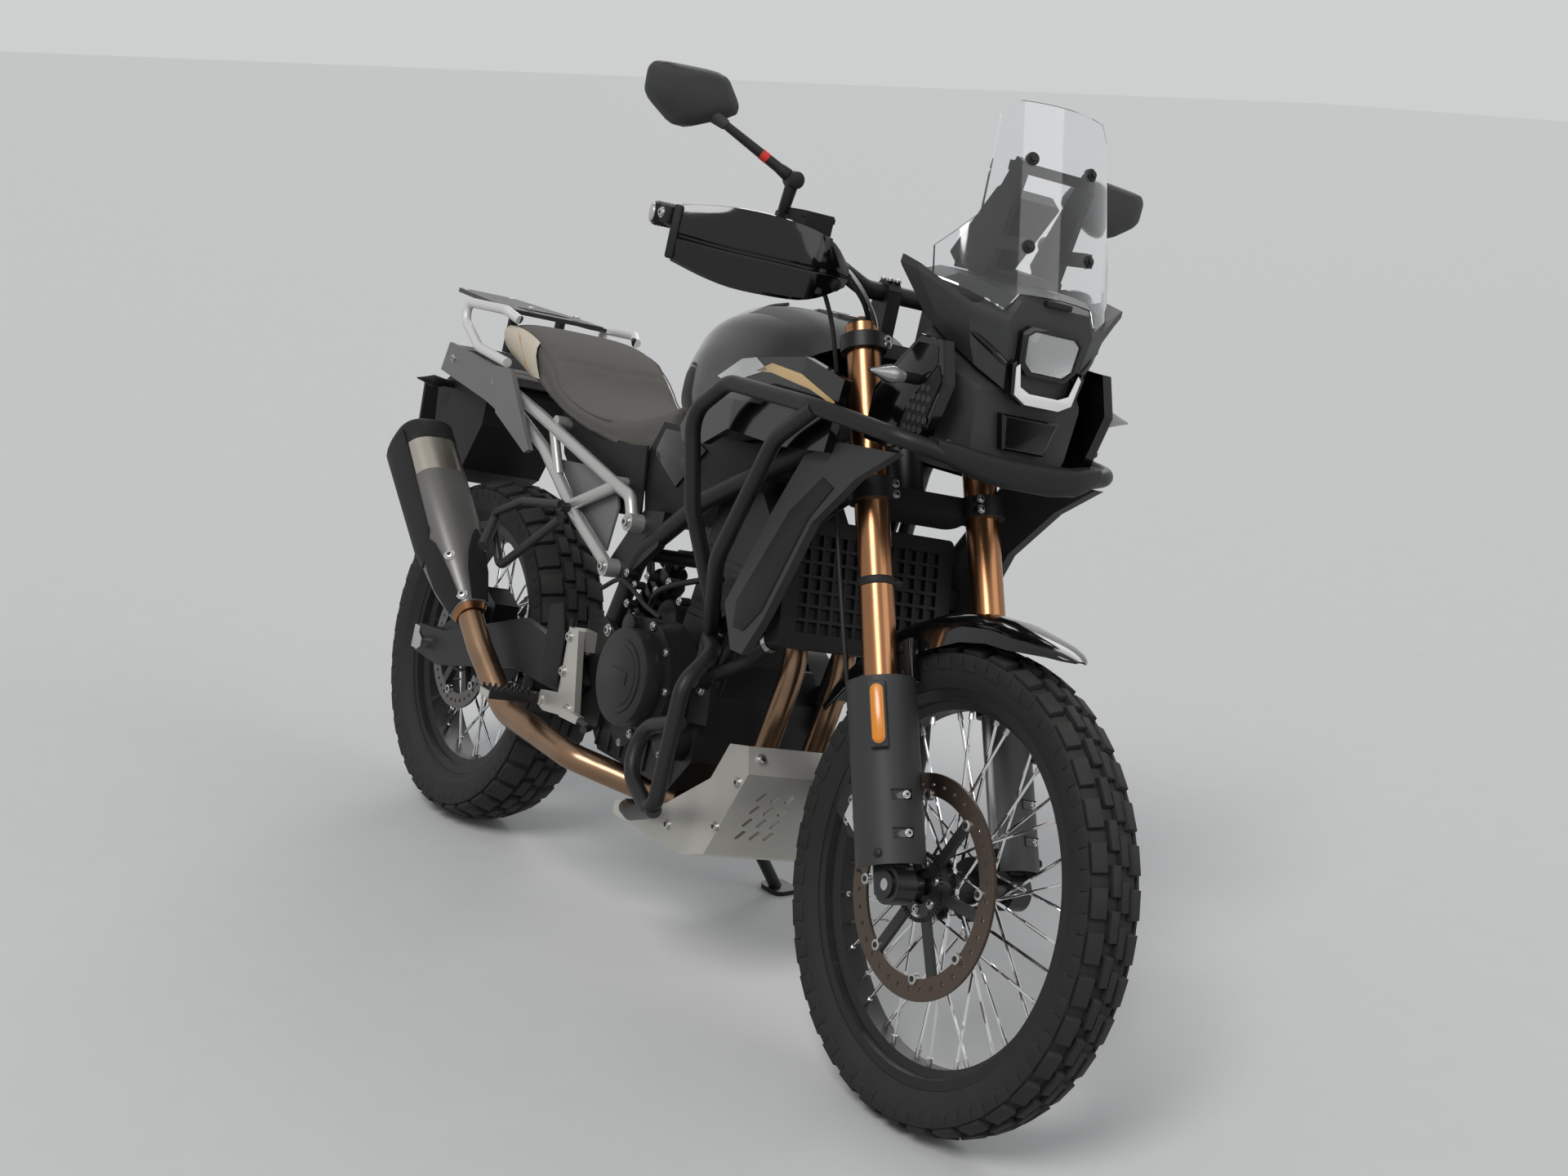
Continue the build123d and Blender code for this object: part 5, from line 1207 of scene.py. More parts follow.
# ---------------------------------------------------------------------------
# Tank, seat and panels
# ---------------------------------------------------------------------------
@dataclass
class TankCover:
    """The tank's creased shell with its matte cover and filler cap."""

    # x, then half width and height of the crest, shoulder, waist, hip and floor
    rows: tuple = (
        (600, 26, 978, 52, 966, 66, 930, 66, 902, 50, 872),
        (640, 36, 1036, 72, 1012, 92, 958, 92, 905, 70, 866),
        (730, 52, 1077, 104, 1045, 130, 985, 130, 910, 100, 862),
        (840, 62, 1096, 122, 1064, 148, 1006, 148, 915, 116, 866),
        (950, 66, 1092, 128, 1058, 157, 1006, 157, 930, 126, 892),
        (1029, 60, 1054, 116, 1030, 145, 1002, 145, 962, 118, 942),
    )
    crease: tuple = ((640, 1037), (700, 1067), (760, 1086), (820, 1096))
    cap_x: float = 905.0

    def build(self) -> None:
        """Makes the shell, the cover's edge and the cap."""
        shape = Shape()
        dense = flowing(list(self.rows), 6)
        rings = [softened(mirrored_ring(row[0], list(zip(row[1::2], row[2::2]))), 2, 0.17) for row in dense]
        shape.loft(rings, GLOSS_BLACK)
        shape.finishes.append(CHARCOAL)
        for face in shape.bm.faces:
            middle = face.calc_center_median()
            edge = 60 + (middle.x - 600) * 0.14
            if face.normal.z > 0.45 and abs(middle.y) < edge:
                face.material_index = 1
        for side in Side:
            crest = [side.at(x, 18 + (x - 600) * 0.11, z + 1.2) for x, z in self.crease]
            shape.pipe(crest, 3.0, CHARCOAL, 10)
        x = self.cap_x
        shape.rod((x, 0, 1086), (x, 0, 1099), 42, CHARCOAL, 48, 39, bevel=1.5)
        shape.rod((x, 0, 1097), (x, 0, 1101.5), 34, GLOSS_BLACK, 48, bevel=1.5)
        shape.block((x, 0, 1101.4), (44, 13, 2.6), MATTE_BLACK, 1.1)
        for index in range(6):
            angle = math.tau * (index + 0.5) / 6
            shape.bolt((x + 37 * math.cos(angle), 37 * math.sin(angle), 1098.4), (0, 0, 1), 2.4, DARK_STEEL)
        tank = shape.finish("tank_shell", Body.CHASSIS, sharp=24, slot="gloss_black")
        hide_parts("fuel_tank")


@dataclass
class ShroudStripes:
    """Stripes laid on the shrouds' outer faces."""

    line: tuple = ((778, 166), (860, 178), (960, 192), (1150, 206), (1262, 208))
    proud: float = 0.5

    def face_y(self, x: float) -> float:
        """The shroud's outer face at this X."""
        for (x0, y0), (x1, y1) in zip(self.line, self.line[1:]):
            if x <= x1:
                return y0 + (y1 - y0) * (x - x0) / (x1 - x0)
        return self.line[-1][1]

    def stripe(self, shape: Shape, outline: list[Pair], side: Side, finish: Finish) -> None:
        """One flat stripe cut where the shroud bends.

        Args:
            shape: the stripes in the making.
            outline: forward and up corners.
            side: the flank it lies on.
            finish: its finish.
        """
        face = shape.bm.faces.new([shape.bm.verts.new((x, 0, z)) for x, z in outline])
        geometry = [face, *face.edges, *face.verts]
        for x, _ in self.line[1:-1]:
            cut = bmesh.ops.bisect_plane(shape.bm, geom=geometry, plane_co=(x, 0, 0), plane_no=(1, 0, 0))
            geometry = cut["geom"]
        faces = [item for item in geometry if isinstance(item, bmesh.types.BMFace)]
        for vert in dict.fromkeys(vert for item in faces for vert in item.verts):
            vert.co.y = side.value * (self.face_y(vert.co.x) + self.proud)
        grown = bmesh.ops.extrude_face_region(shape.bm, geom=faces)["geom"]
        moved = [item for item in grown if isinstance(item, bmesh.types.BMVert)]
        bmesh.ops.translate(shape.bm, vec=side.out * 0.6, verts=moved)
        shape.close(finish)

    def build(self) -> None:
        """Lays every stripe on both flanks."""
        shape = Shape()
        for side in Side:
            self.stripe(shape, [(884, 966), (930, 960), (1046, 996), (1004, 1010), (960, 1002)], side,
                        STRIPE_WHITE)
            self.stripe(shape, [(1010, 990), (1060, 994), (1180, 986), (1250, 972), (1250, 978), (1150, 1004),
                                (1056, 1008)], side, STRIPE_CREAM)
            self.stripe(shape, [(876, 930), (900, 932), (934, 960), (912, 964)], side, STRIPE_GREY)
            self.stripe(shape, [(930, 938), (1046, 944), (1080, 968), (968, 962)], side, STRIPE_BROWN)
        shape.finish("shroud_stripes", Body.CHASSIS, slot="gloss_black")


@dataclass
class Seat:
    """The stepped dual seat: a crowned grainy cushion, cream rear sides and stitched seams."""

    # x, half width, underside, shoulder height
    rows: tuple = (
        (-13, 98, 906, 938), (6, 118, 899, 948), (60, 131, 887, 953), (120, 136, 871, 951),
        (180, 137, 853, 938), (232, 136, 836, 914), (272, 137, 826, 880), (320, 136, 815, 860),
        (380, 132, 804, 847), (440, 123, 797, 842), (490, 111, 790, 848), (530, 97, 787, 861),
        (570, 82, 788, 881), (598, 72, 792, 900),
    )
    slack: float = 2.5
    swell: float = 0.0034
    voxel: float = 0.006
    pressure: float = 4.0
    frames: int = 20
    # place, sweep, width and depth of the sewn channel, and the height that it starts at
    channel_x: float = 246.0
    channel_sweep: float = 0.10
    channel_width: float = 5.0
    channel_depth: float = 0.0024
    channel_floor: float = 835.0
    # how many stitches run down each cream cover
    stitches: int = 13

    def sections(self) -> list[list[Vector]]:
        """The cushion's cross sections from tail to nose.

        Returns:
            One closed ring for each station.
        """
        rings = []
        for x, half, low, high in flowing(list(self.rows), 3):
            tall = high - low
            crown = min(tall * 0.09, 4.5)
            section = [(half * 0.30, high + crown), (half * 0.66, high + crown * 0.6),
                       (half * 0.90, high - tall * 0.05),
                       (half * 0.995, high - tall * 0.26), (half * 0.965, low + tall * 0.42),
                       (half * 0.90, low + tall * 0.12), (half * 0.80, low)]
            rings.append(softened(mirrored_ring(x, section), 1, 0.25))
        return rings

    def build(self) -> None:
        """Makes the cushion, its cream sides and its seams."""
        shape = Shape()
        shape.loft(self.sections(), SEAT_COVER)
        shape.bm.normal_update()
        for vert in shape.bm.verts:
            vert.co -= vert.normal * self.slack
        cushion = shape.finish("seat_cushion", Body.CHASSIS, sharp=180, slot="seat_cover")
        self.plump(cushion)
        self.sew(cushion)
        rounding = cushion.modifiers.new("rounding", "SUBSURF")
        rounding.levels = rounding.render_levels = 1
        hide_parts("seat")
        self.side_covers()
        self.seams()

    def plump(self, cushion: bpy.types.Object) -> None:
        """Swells the foam under its cover with a short cloth simulation, held at its base.

        Args:
            cushion: the cushion, slightly smaller than it will be.
        """
        scene = bpy.context.scene
        form = bpy.data.objects.new("seat_form", cushion.data)
        scene.collection.objects.link(form)
        grid = form.modifiers.new("voxels", "REMESH")
        grid.mode = "VOXEL"
        grid.voxel_size = self.voxel
        graph = bpy.context.evaluated_depsgraph_get()
        start = bpy.data.meshes.new_from_object(form.evaluated_get(graph))
        bpy.data.objects.remove(form)
        pad = bpy.data.objects.new("seat_pad", start)
        scene.collection.objects.link(pad)
        down = PARK.to_3x3().normalized() @ Vector((0, 0, -1))
        base = pad.vertex_groups.new(name="base")
        base.add([vert.index for vert in start.vertices if vert.normal.dot(down) > 0.6], 1.0, "REPLACE")
        cloth = pad.modifiers.new("cover", "CLOTH")
        cloth.settings.use_pressure = True
        cloth.settings.uniform_pressure_force = self.pressure
        cloth.settings.effector_weights.gravity = 0.0
        cloth.settings.vertex_group_mass = "base"
        cloth.point_cache.frame_start = 1
        cloth.point_cache.frame_end = self.frames
        for step in range(1, self.frames + 1):
            scene.frame_set(step)
        graph = bpy.context.evaluated_depsgraph_get()
        blown = bpy.data.meshes.new_from_object(pad.evaluated_get(graph))
        for rest, vert in zip(start.vertices, blown.vertices):
            moved = vert.co - rest.co
            if moved.length > self.swell:
                vert.co = rest.co + moved.normalized() * self.swell
        scene.frame_set(1)
        bpy.data.objects.remove(pad)
        for face in blown.polygons:
            face.use_smooth = True
        if not blown.materials:
            blown.materials.append(SEAT_COVER.material())
        cushion.data = blown
        LOG.info("seat cushion swelled: %d faces", len(blown.polygons))

    def sew(self, cushion: bpy.types.Object) -> None:
        """Presses the sewn channel at the step down into the swelled cushion.

        Args:
            cushion: the swelled cushion.
        """
        upright = PARK.inverted()
        down = PARK.to_3x3().normalized() @ Vector((0, 0, -1))
        for vert in cushion.data.vertices:
            place = upright @ vert.co
            away = place.x - self.channel_x + abs(place.y) * self.channel_sweep
            near = math.exp(-(away / self.channel_width) ** 2)
            if place.z > self.channel_floor and near > 0.02:
                vert.co += down * near * self.channel_depth

    def side_covers(self) -> None:
        """Cream covers on the rear flanks, cut from the cushion's own form."""
        shape = Shape()
        shape.loft(self.sections(), SEAT_CREAM)
        for point, normal in (((0, 0, 868), (0, 0, -1)), ((176, 0, 930), (0.90, 0, 0.43)),
                              ((8, 0, 930), (-1, 0, 0.15))):
            geometry = list(shape.bm.verts) + list(shape.bm.edges) + list(shape.bm.faces)
            bmesh.ops.bisect_plane(shape.bm, geom=geometry, plane_co=point, plane_no=normal, clear_outer=True)
        doomed = [face for face in shape.bm.faces
                  if face.normal.z > 0.80 or face.normal.z < -0.75 or abs(face.calc_center_median().y) < 84]
        bmesh.ops.delete(shape.bm, geom=doomed, context="FACES")
        shape.bm.normal_update()
        for vert in shape.bm.verts:
            vert.co += vert.normal * 1.1
        shape.finish("seat_side_covers", Body.CHASSIS, sharp=60)

    def seams(self) -> None:
        """Orange stitches on the cream flanks and dark piping along the shoulders."""
        shape = Shape()
        flowed = flowing(list(self.rows), 3)
        for side in Side:
            y = side.value
            cord = [(x, y * (half * 0.935 - 2.2), high - (high - low) * 0.13 - 0.9)
                    for x, half, low, high in flowed[2:30:2]]
            shape.pipe(cord, 1.2, SEAT_COVER, 6)
            along = Vector((0.60, 0, -0.80))
            for index in range(self.stitches):
                t = index / (self.stitches - 1)
                at = side.at(104 + 44 * t, 136 * (1 - 0.06 * t) + 0.9, 936 - 58 * t)
                shape.rod(at - along * 2.0, at + along * 2.0, 0.9, STITCH, 6)
        shape.finish("seat_stitch", Body.CHASSIS)


@dataclass
class Panels:
    """Gloss side panels, vent pads, screen bolts and display."""

    # forward and up corners of the gloss panel and of the vent pad
    gloss: tuple = ((1270, 1006), (1344, 1088), (1392, 1088), (1400, 1062), (1352, 1000), (1330, 950),
                    (1270, 948))
    pad: tuple = ((1352, 996), (1404, 1062), (1416, 1040), (1396, 972), (1340, 944))
    screen_slope: float = math.radians(17)
    screen_bend: float = 190.0
    screen_foot: Vector = field(default_factory=lambda: Vector((1440, 0, 1180)))

    def build(self) -> None:
        """Makes the nose's fittings."""
        shape = Shape()
        for side in Side:
            y = side.value
            shape.panel(self.gloss, side, 155.8, 1.6, GLOSS_BLACK, 0.8)
            shape.panel(self.pad, side, 155.8, 2.4, MATTE_BLACK, 0.8)
            for row in range(5):
                for column in range(4):
                    x, z = 1358 + column * 12 + (row % 2) * 6, 968 + row * 15
                    if z > 958 + (x - 1350) * 0.2 and z < 1004 + (x - 1352) * 0.95:
                        shape.rod((x, y * 158.0, z), (x, y * 159.4, z), 5.4, CHARCOAL, 6)
            for z, half in ((1373, 55), (1252, 56)):
                slope, bend = self.screen_slope, self.screen_bend
                ahead = Vector((math.cos(slope), 0, math.sin(slope)))
                out = Vector((math.cos(slope), y * half / bend, math.sin(slope))).normalized()
                height = (z - self.screen_foot.z) / math.cos(slope)
                sag = bend - math.sqrt(bend ** 2 - half ** 2)
                at = (self.screen_foot + Vector((-math.sin(slope), 0, math.cos(slope))) * height
                      - ahead * sag + side.out * half)
                shape.rod(at - out * 10, at + out * 2.0, 9.5, RUBBER, 24, bevel=1.5)
                shape.bolt(at + out * 1.5, out, 5.0, BLACK_PAINT)
        normal = Vector((-0.8, 0, 0.6))
        centre = Vector((1284, 0, 1262)) + normal * 22.2
        turn = Matrix((Vector((0.6, 0, 0.8)), Vector((0, 1, 0)), normal)).transposed()
        shape.block(centre, (122, 94, 1.6), SCREEN_GLASS, 0.6, turn)
        shape.finish("nose_fittings", Body.CHASSIS, slot="gloss_black")


@dataclass
class NoseCowl:
    """The charcoal cowl: brow, wings, chin, and its gloss flanks."""

    # x, then half width and height of top edge, screen seat, wing tip, wing root, flank and underside
    brow: tuple = (
        (1308, 120, 1200, 150, 1190, 190, 1204, 192, 1190, 152, 1150, 128, 1124),
        (1350, 112, 1196, 158, 1176, 190, 1196, 190, 1184, 142, 1130, 118, 1100),
        (1400, 84, 1186, 104, 1161, 122, 1156, 124, 1147, 112, 1104, 94, 1070),
        (1432, 62, 1174, 70, 1157, 76, 1146, 74, 1137, 66, 1090, 60, 1045),
    )
    # x, then half width and height of the upper edge, cheek, jaw and underside
    chin: tuple = (
        (1312, 104, 1126, 136, 1090, 120, 960, 90, 920), (1380, 92, 1078, 118, 1056, 106, 962, 78, 920),
        (1420, 60, 1050, 94, 1046, 86, 958, 62, 935),
    )
    flank: tuple = ((1262, 1012), (1345, 1100), (1400, 1098), (1425, 1040), (1400, 960), (1330, 932),
                    (1262, 936))
    # the gloss rib round the wing
    arm: tuple = ((1433, 54, 1078), (1424, 78, 1094), (1404, 106, 1114), (1376, 128, 1134), (1346, 146, 1152))

    def build(self) -> None:
        """Makes the cowl and its flank panels."""
        shape = Shape()
        for rows in (self.brow, self.chin):
            rings = [softened(mirrored_ring(row[0], list(zip(row[1::2], row[2::2]))), 1, 0.10)
                     for row in rows]
            shape.loft(rings, CHARCOAL)
        for side in Side:
            shape.panel(self.flank, side, 138, 18, GLOSS_BLACK, 2.5)
            shape.pipe([side.at(*point) for point in self.arm], 4.6, GLOSS_BLACK, 12)
        shape.plate([Vector((x, -141, z))
                     for x, z in ((1330, 1000), (1350, 1000), (1350, 1090), (1330, 1090))],
                    Vector((0, 282, 0)), MATTE_BLACK)
        shape.block((1434, 0, 1178), (12, 46, 9), MATTE_BLACK, 2.5)
        cowl = shape.finish("nose_shell", Body.CHASSIS, sharp=22, slot="charcoal")
        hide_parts("nose_cowl")


@dataclass
class BarCap:
    """The broad cap over the crash bars' front."""

    # half width, forward, up, then width and height of the section, from the tip to the middle
    stations: tuple = ((150, 1420, 952, 15, 13), (120, 1434, 946, 18, 17), (88, 1446, 939, 20, 20),
                       (40, 1450, 935, 21, 21))

    def build(self) -> None:
        """Makes the cap as a loft along the bar."""
        shape = Shape()
        rows = [(-y, *rest) for y, *rest in self.stations] + list(self.stations[::-1])
        shape.loft([ring((x, y, z), (1, 0, 0), (0, 0, 1), (wide, tall), 4.0, 28)
                    for y, x, z, wide, tall in rows], MATTE_BLACK)
        for y in (-132, 132):
            shape.bolt((1430, y, 962), (0, 0, 1), 4.5, DARK_STEEL)
        shape.finish("crash_bar_cap", Body.CHASSIS, slot="matte_black")


@dataclass
class SideCovers:
    """Dark covers beside the air box, grey infills, flat cheek panels and heel guards."""

    cover: tuple = ((566, 792), (604, 862), (700, 866), (880, 872), (948, 884), (870, 806), (796, 748),
                    (712, 706), (650, 664), (604, 700))
    infill: tuple = ((318, 742), (352, 716), (420, 674), (545, 622), (556, 700), (540, 730), (440, 752))
    under_seat: tuple = ((262, 828), (320, 817), (440, 808), (520, 806), (580, 814), (604, 700), (556, 690),
                         (420, 676), (352, 716), (300, 752))
    heel: tuple = ((477, 507), (500, 372), (556, 380), (548, 466), (520, 520))
    air_box: tuple = ((600, 806), (622, 852), (700, 856), (760, 838), (690, 764))
    cheek: tuple = ((1096, 612), (1124, 612), (1160, 650), (1228, 806), (1272, 858), (1240, 868),
                    (1176, 806), (1090, 650))

    def build(self) -> None:
        """Makes the covers on both flanks."""
        shape = Shape()
        for side in Side:
            shape.panel(self.cover, side, 84, 8, MATTE_BLACK, 2.0)
            shape.panel(self.air_box, side, 92, 5, GLOSS_BLACK, 2.0)
            shape.rod(side.at(716, 90, 806), side.at(716, 104, 806), 15, DARK_STEEL, 28, bevel=2)
            shape.panel(self.under_seat, side, 96, 5, MATTE_BLACK, 1.5)
            shape.panel(self.infill, side, 112, 5, TAIL_GREY, 1.5)
            shape.panel(self.heel, side, 158.4, 4, MATTE_BLACK, 1.2)
            shape.panel(self.cheek, side, 191.6, 2.4, MATTE_BLACK, 1.0)
        shape.finish("side_covers", Body.CHASSIS, slot="matte_black")


# ---------------------------------------------------------------------------
# Exhaust, engine and chassis fittings
# ---------------------------------------------------------------------------
@dataclass
class Silencer:
    """The can in bands: bronze link pipe, grey can, brushed band, end cap and dark shields."""

    foot: Vector = field(default_factory=lambda: Vector((258, -186, 416)))
    top: Vector = field(default_factory=lambda: Vector((-66, -206, 690)))
    bolt_bearing: float = 4.0

    def build(self) -> None:
        """Makes the banded can and its shields."""
        shape = Shape()
        axis = (self.top - self.foot).normalized()
        across = (Vector((0, 1, 0)) - axis * axis.y).normalized()
        up = axis.cross(across).normalized()
        length = (self.top - self.foot).length

        def section(reach: float, half: float) -> list[Vector]:
            """The can's outline at this reach."""
            return ring(self.foot + axis * reach, across, up, (0.9 * half, half), 3.0, 48)

        bands = (
            (BRONZE, ((19, 27), (30, 32))),
            (CAN_GREY, ((30, 33), (90, 48), (129, 53.2), (200, 61.4), (length - 112, 61.6),
                        (length - 110, 61.0))),
            (BRUSHED, ((length - 111, 61.0), (length - 34, 61.0))),
            (MATTE_BLACK, ((length - 35, 61.8), (length + 4, 61.8), (length + 12, 57), (length + 13.5, 50),
                           (length + 6, 44), (length + 4, 24))),
        )
        for finish, rows in bands:
            shape.loft([section(reach, half) for reach, half in rows], finish)
        out = (across * math.cos(self.bolt_bearing) + up * math.sin(self.bolt_bearing)).normalized()
        for reach, half in ((44, 36), (122, 53)):
            shape.bolt(self.foot + axis * reach + out * half * 1.03, out, 7.5)
        for middle in (3.25, 5.05):
            tongue = [arc_ring(self.foot + axis * reach, across, up, (0.9 * half + 2.4, half + 2.4), 2.4,
                               (middle - spread, middle + spread))
                      for reach, half, spread in ((34, 33.5, 0.52), (92, 48.6, 0.44), (130, 53.6, 0.34),
                                                  (160, 56.9, 0.22), (176, 58.8, 0.06))]
            shape.loft(tongue, MATTE_BLACK)
        outer = [arc_ring(self.foot + axis * reach, across, up, (0.9 * half + 2.8, half + 2.8), 2.6, bearings)
                 for reach, half, bearings in ((150, 55.5, (2.60, 3.10)), (190, 60.2, (2.30, 3.45)),
                                               (length - 60, 61.4, (2.20, 3.55)),
                                               (length - 4, 61.8, (2.15, 3.60)))]
        shape.loft(outer, MATTE_BLACK)
        shape.rod(self.top + axis * 4, self.top + axis * 13, 24, STEEL, 32, bevel=1.0)
        shape.rod(self.top + axis * 8, self.top + axis * 13.4, 18, MATTE_BLACK, 32)
        can = shape.finish("silencer_can", Body.CHASSIS, sharp=40, slot="exhaust")
        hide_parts("silencer")


@dataclass
class EngineFittings:
    """Covers, bosses, bolts and pipes on the engine, and the skid plate's bolts."""

    cover: Pair = (812.0, 462.0)
    # x, z, radius, right face
    bosses: tuple = ((894, 384, 32, -145), (742, 372, 40, -131), (884, 476, 26, -139), (769, 539, 16, -167),
                     (700, 478, 34, -135), (668, 425, 30, -128))
    # radius, sides, then the points of the route
    hoses: tuple = (
        (13, 16, (900, -82, 560), (960, -112, 596), (1040, -120, 640), (1100, -116, 680)),
        (12, 16, (1128, -120, 620), (1060, -124, 560), (980, -116, 520), (930, -112, 500)),
        (13, 16, (860, 84, 640), (940, 116, 668), (1040, 120, 720), (1110, 112, 770)),
        (5, 10, (690, -96, 560), (760, -126, 600), (830, -112, 632), (880, -88, 650)),
        (4, 10, (560, -118, 560), (640, -128, 590), (720, -122, 566), (790, -132, 560)),
    )

    def clutch_cover(self, shape: Shape) -> None:
        """The round cover with its stepped rim, its lugs and its raised ring."""
        x, z = self.cover
        for depth, radius, finish, bevel in ((-196.5, 79, DARK_ALLOY, 4.0), (-199, 60, BLACK_PAINT, 1.5),
                                             (-200.5, 50, DARK_ALLOY, 1.5)):
            shape.rod((x, -150, z), (x, depth, z), radius, finish, 56, bevel=bevel)
        shape.block((x, -201.0, z), (54, 2.0, 22), BLACK_PAINT, 0.8)
        for index in range(9):
            at = around(Vector((x, -162.9, z)), 91, math.tau * index / 9)
            shape.rod(at + Vector((0, 14, 0)), at - Vector((0, 2, 0)), 9.0, DARK_ALLOY, 16, bevel=1)
            shape.bolt(at - Vector((0, 2, 0)), (0, -1, 0), 5.2)

    def cases(self, shape: Shape) -> None:
        """Bosses, ribs, the starter, the oil filter and the pipes between them."""
        for x, z, radius, face in self.bosses:
            shape.rod((x, -104, z), (x, face, z), radius, DARK_ALLOY, 36, bevel=2.5)
            for index in range(3 if radius > 20 else 0):
                at = around(Vector((x, face - 0.2, z)), radius - 6, math.tau * (index / 3 + 0.1))
                shape.bolt(at, (0, -1, 0), 4.6)
        shape.rod((769, -167, 539), (769, -177, 539), 19, BLACK_PAINT, 10, bevel=1.5)
        shape.rod((718, -78, 548), (718, 78, 548), 32, DARK_ALLOY, 36, bevel=3.0)
        for row in range(7):
            for y in (-110.5, 110.5):
                shape.block((640 + row * 40, y, 338), (7, 6, 62), DARK_ALLOY, 1.5)
        for row in range(11):
            shape.block((852 + row * 2.2, 0, 574 + row * 13), (148, 152, 4.0), DARK_ALLOY, 1.0)

    def pipes(self, shape: Shape) -> None:
        """Coolant hoses, cables and their clips."""
        for radius, sides, *route in self.hoses:
            shape.pipe(route, radius, RUBBER, sides)
        for x, y, z in ((934, -98, 580), (1080, -118, 667), (1100, -123, 595), (952, -114, 508)):
            shape.rod((x - 4, y, z - 3), (x + 4, y, z + 3), 15, STEEL, 24)
        for x, z in ((640, 604), (672, 590), (706, 612), (742, 596), (776, 618), (690, 540), (660, 556),
                     (820, 596)):
            shape.bolt((x, -121.5, z), (0, -1, 0), 5.0)
            shape.rod((x, -104, z), (x, -121.5, z), 7.0, DARK_ALLOY, 14)

    def build(self) -> None:
        """Makes the engine's visible detail."""
        shape = Shape()
        self.clutch_cover(shape)
        self.cases(shape)
        self.pipes(shape)
        for side in Side:
            shape.rod(side.at(958, 46, 726), side.at(968, 46, 722), 29, STEEL, 24, bevel=1)
            for shift in (-24, 24):
                shape.bolt((963, side.value * 46 + shift, 724), (1, 0, -0.3), 4.5)
            for x, z in ((1125, 381), (1092, 300), (860, 262), (960, 262)):
                shape.bolt(side.at(x, 142.2, z), side.out, 6.5)
            shape.bolt(side.at(1139, 118, 422), (0.93, 0, 0.37), 7.0)
        shape.finish("engine_fittings", Body.CHASSIS, slot="dark_alloy")


@dataclass
class ChassisFittings:
    """Bolts on subframe, pegs, rack and swingarm, the toothed footpegs and the windowed heel plates."""

    def build(self) -> None:
        """Makes the chassis fittings."""
        shape = Shape()
        for side in Side:
            y = side.value
            for x, z in ((637, 688), (589, 601)):
                shape.bolt((x, y * 141.2, z), (0, y, 0), 8.5)
            for x, z in ((560, 470), (604, 354), (505, 346), (562, 410)):
                shape.bolt((x, y * 158.2, z), (0, y, 0), 7.0)
            for x, z in ((566, 448), (940, 480), (585, 335), (620, 500)):
                shape.bolt((x, y * 121.3, z), (0, y, 0), 8.0)
            shape.bolt((575, y * 142.1, 400), (0, y, 0), 14.0)
            shape.block((495, y * 213, 346), (38, 96, 15.5), BLACK_PAINT, 3.0)
            for index in range(9):
                for x in (480, 510):
                    shape.block((x, y * (169 + index * 11), 356), (6, 6, 8), DARK_STEEL, 0.6, taper=0.5)
            guard = [(550, 500), (561, 470), (556, 428), (536, 380), (506, 372), (504, 420), (514, 466),
                     (530, 496)]
            shape.panel(guard, side, 149, 6, MATTE_BLACK, 1.6)
            window = [(538, 476), (543, 452), (538, 424), (522, 396), (518, 424), (524, 456)]
            shape.panel(window, side, 154.6, 2, DARK_ALLOY, 0.6)
            shape.bolt((530, y * 155.5, 402), (0, y, 0), 4.0)
            shape.rod((0, y * 156.1, 326.5), (0, y * 162, 326.5), 17, STEEL, 6, bevel=1.0)
            shape.block((-46, y * 142, 326), (22, 6, 44), STEEL, 1.5)
            for x in (-330, -40):
                shape.bolt((x, y * 50, 980.2), (0, 0, 1), 6.0)
            shape.bolt((60, y * 143.2, 840), (0, y, 0), 6.0)
            shape.bolt((-130, y * 143.2, 856), (0, y, 0), 6.0)
        shape.finish("chassis_fittings", Body.CHASSIS, slot="steel")


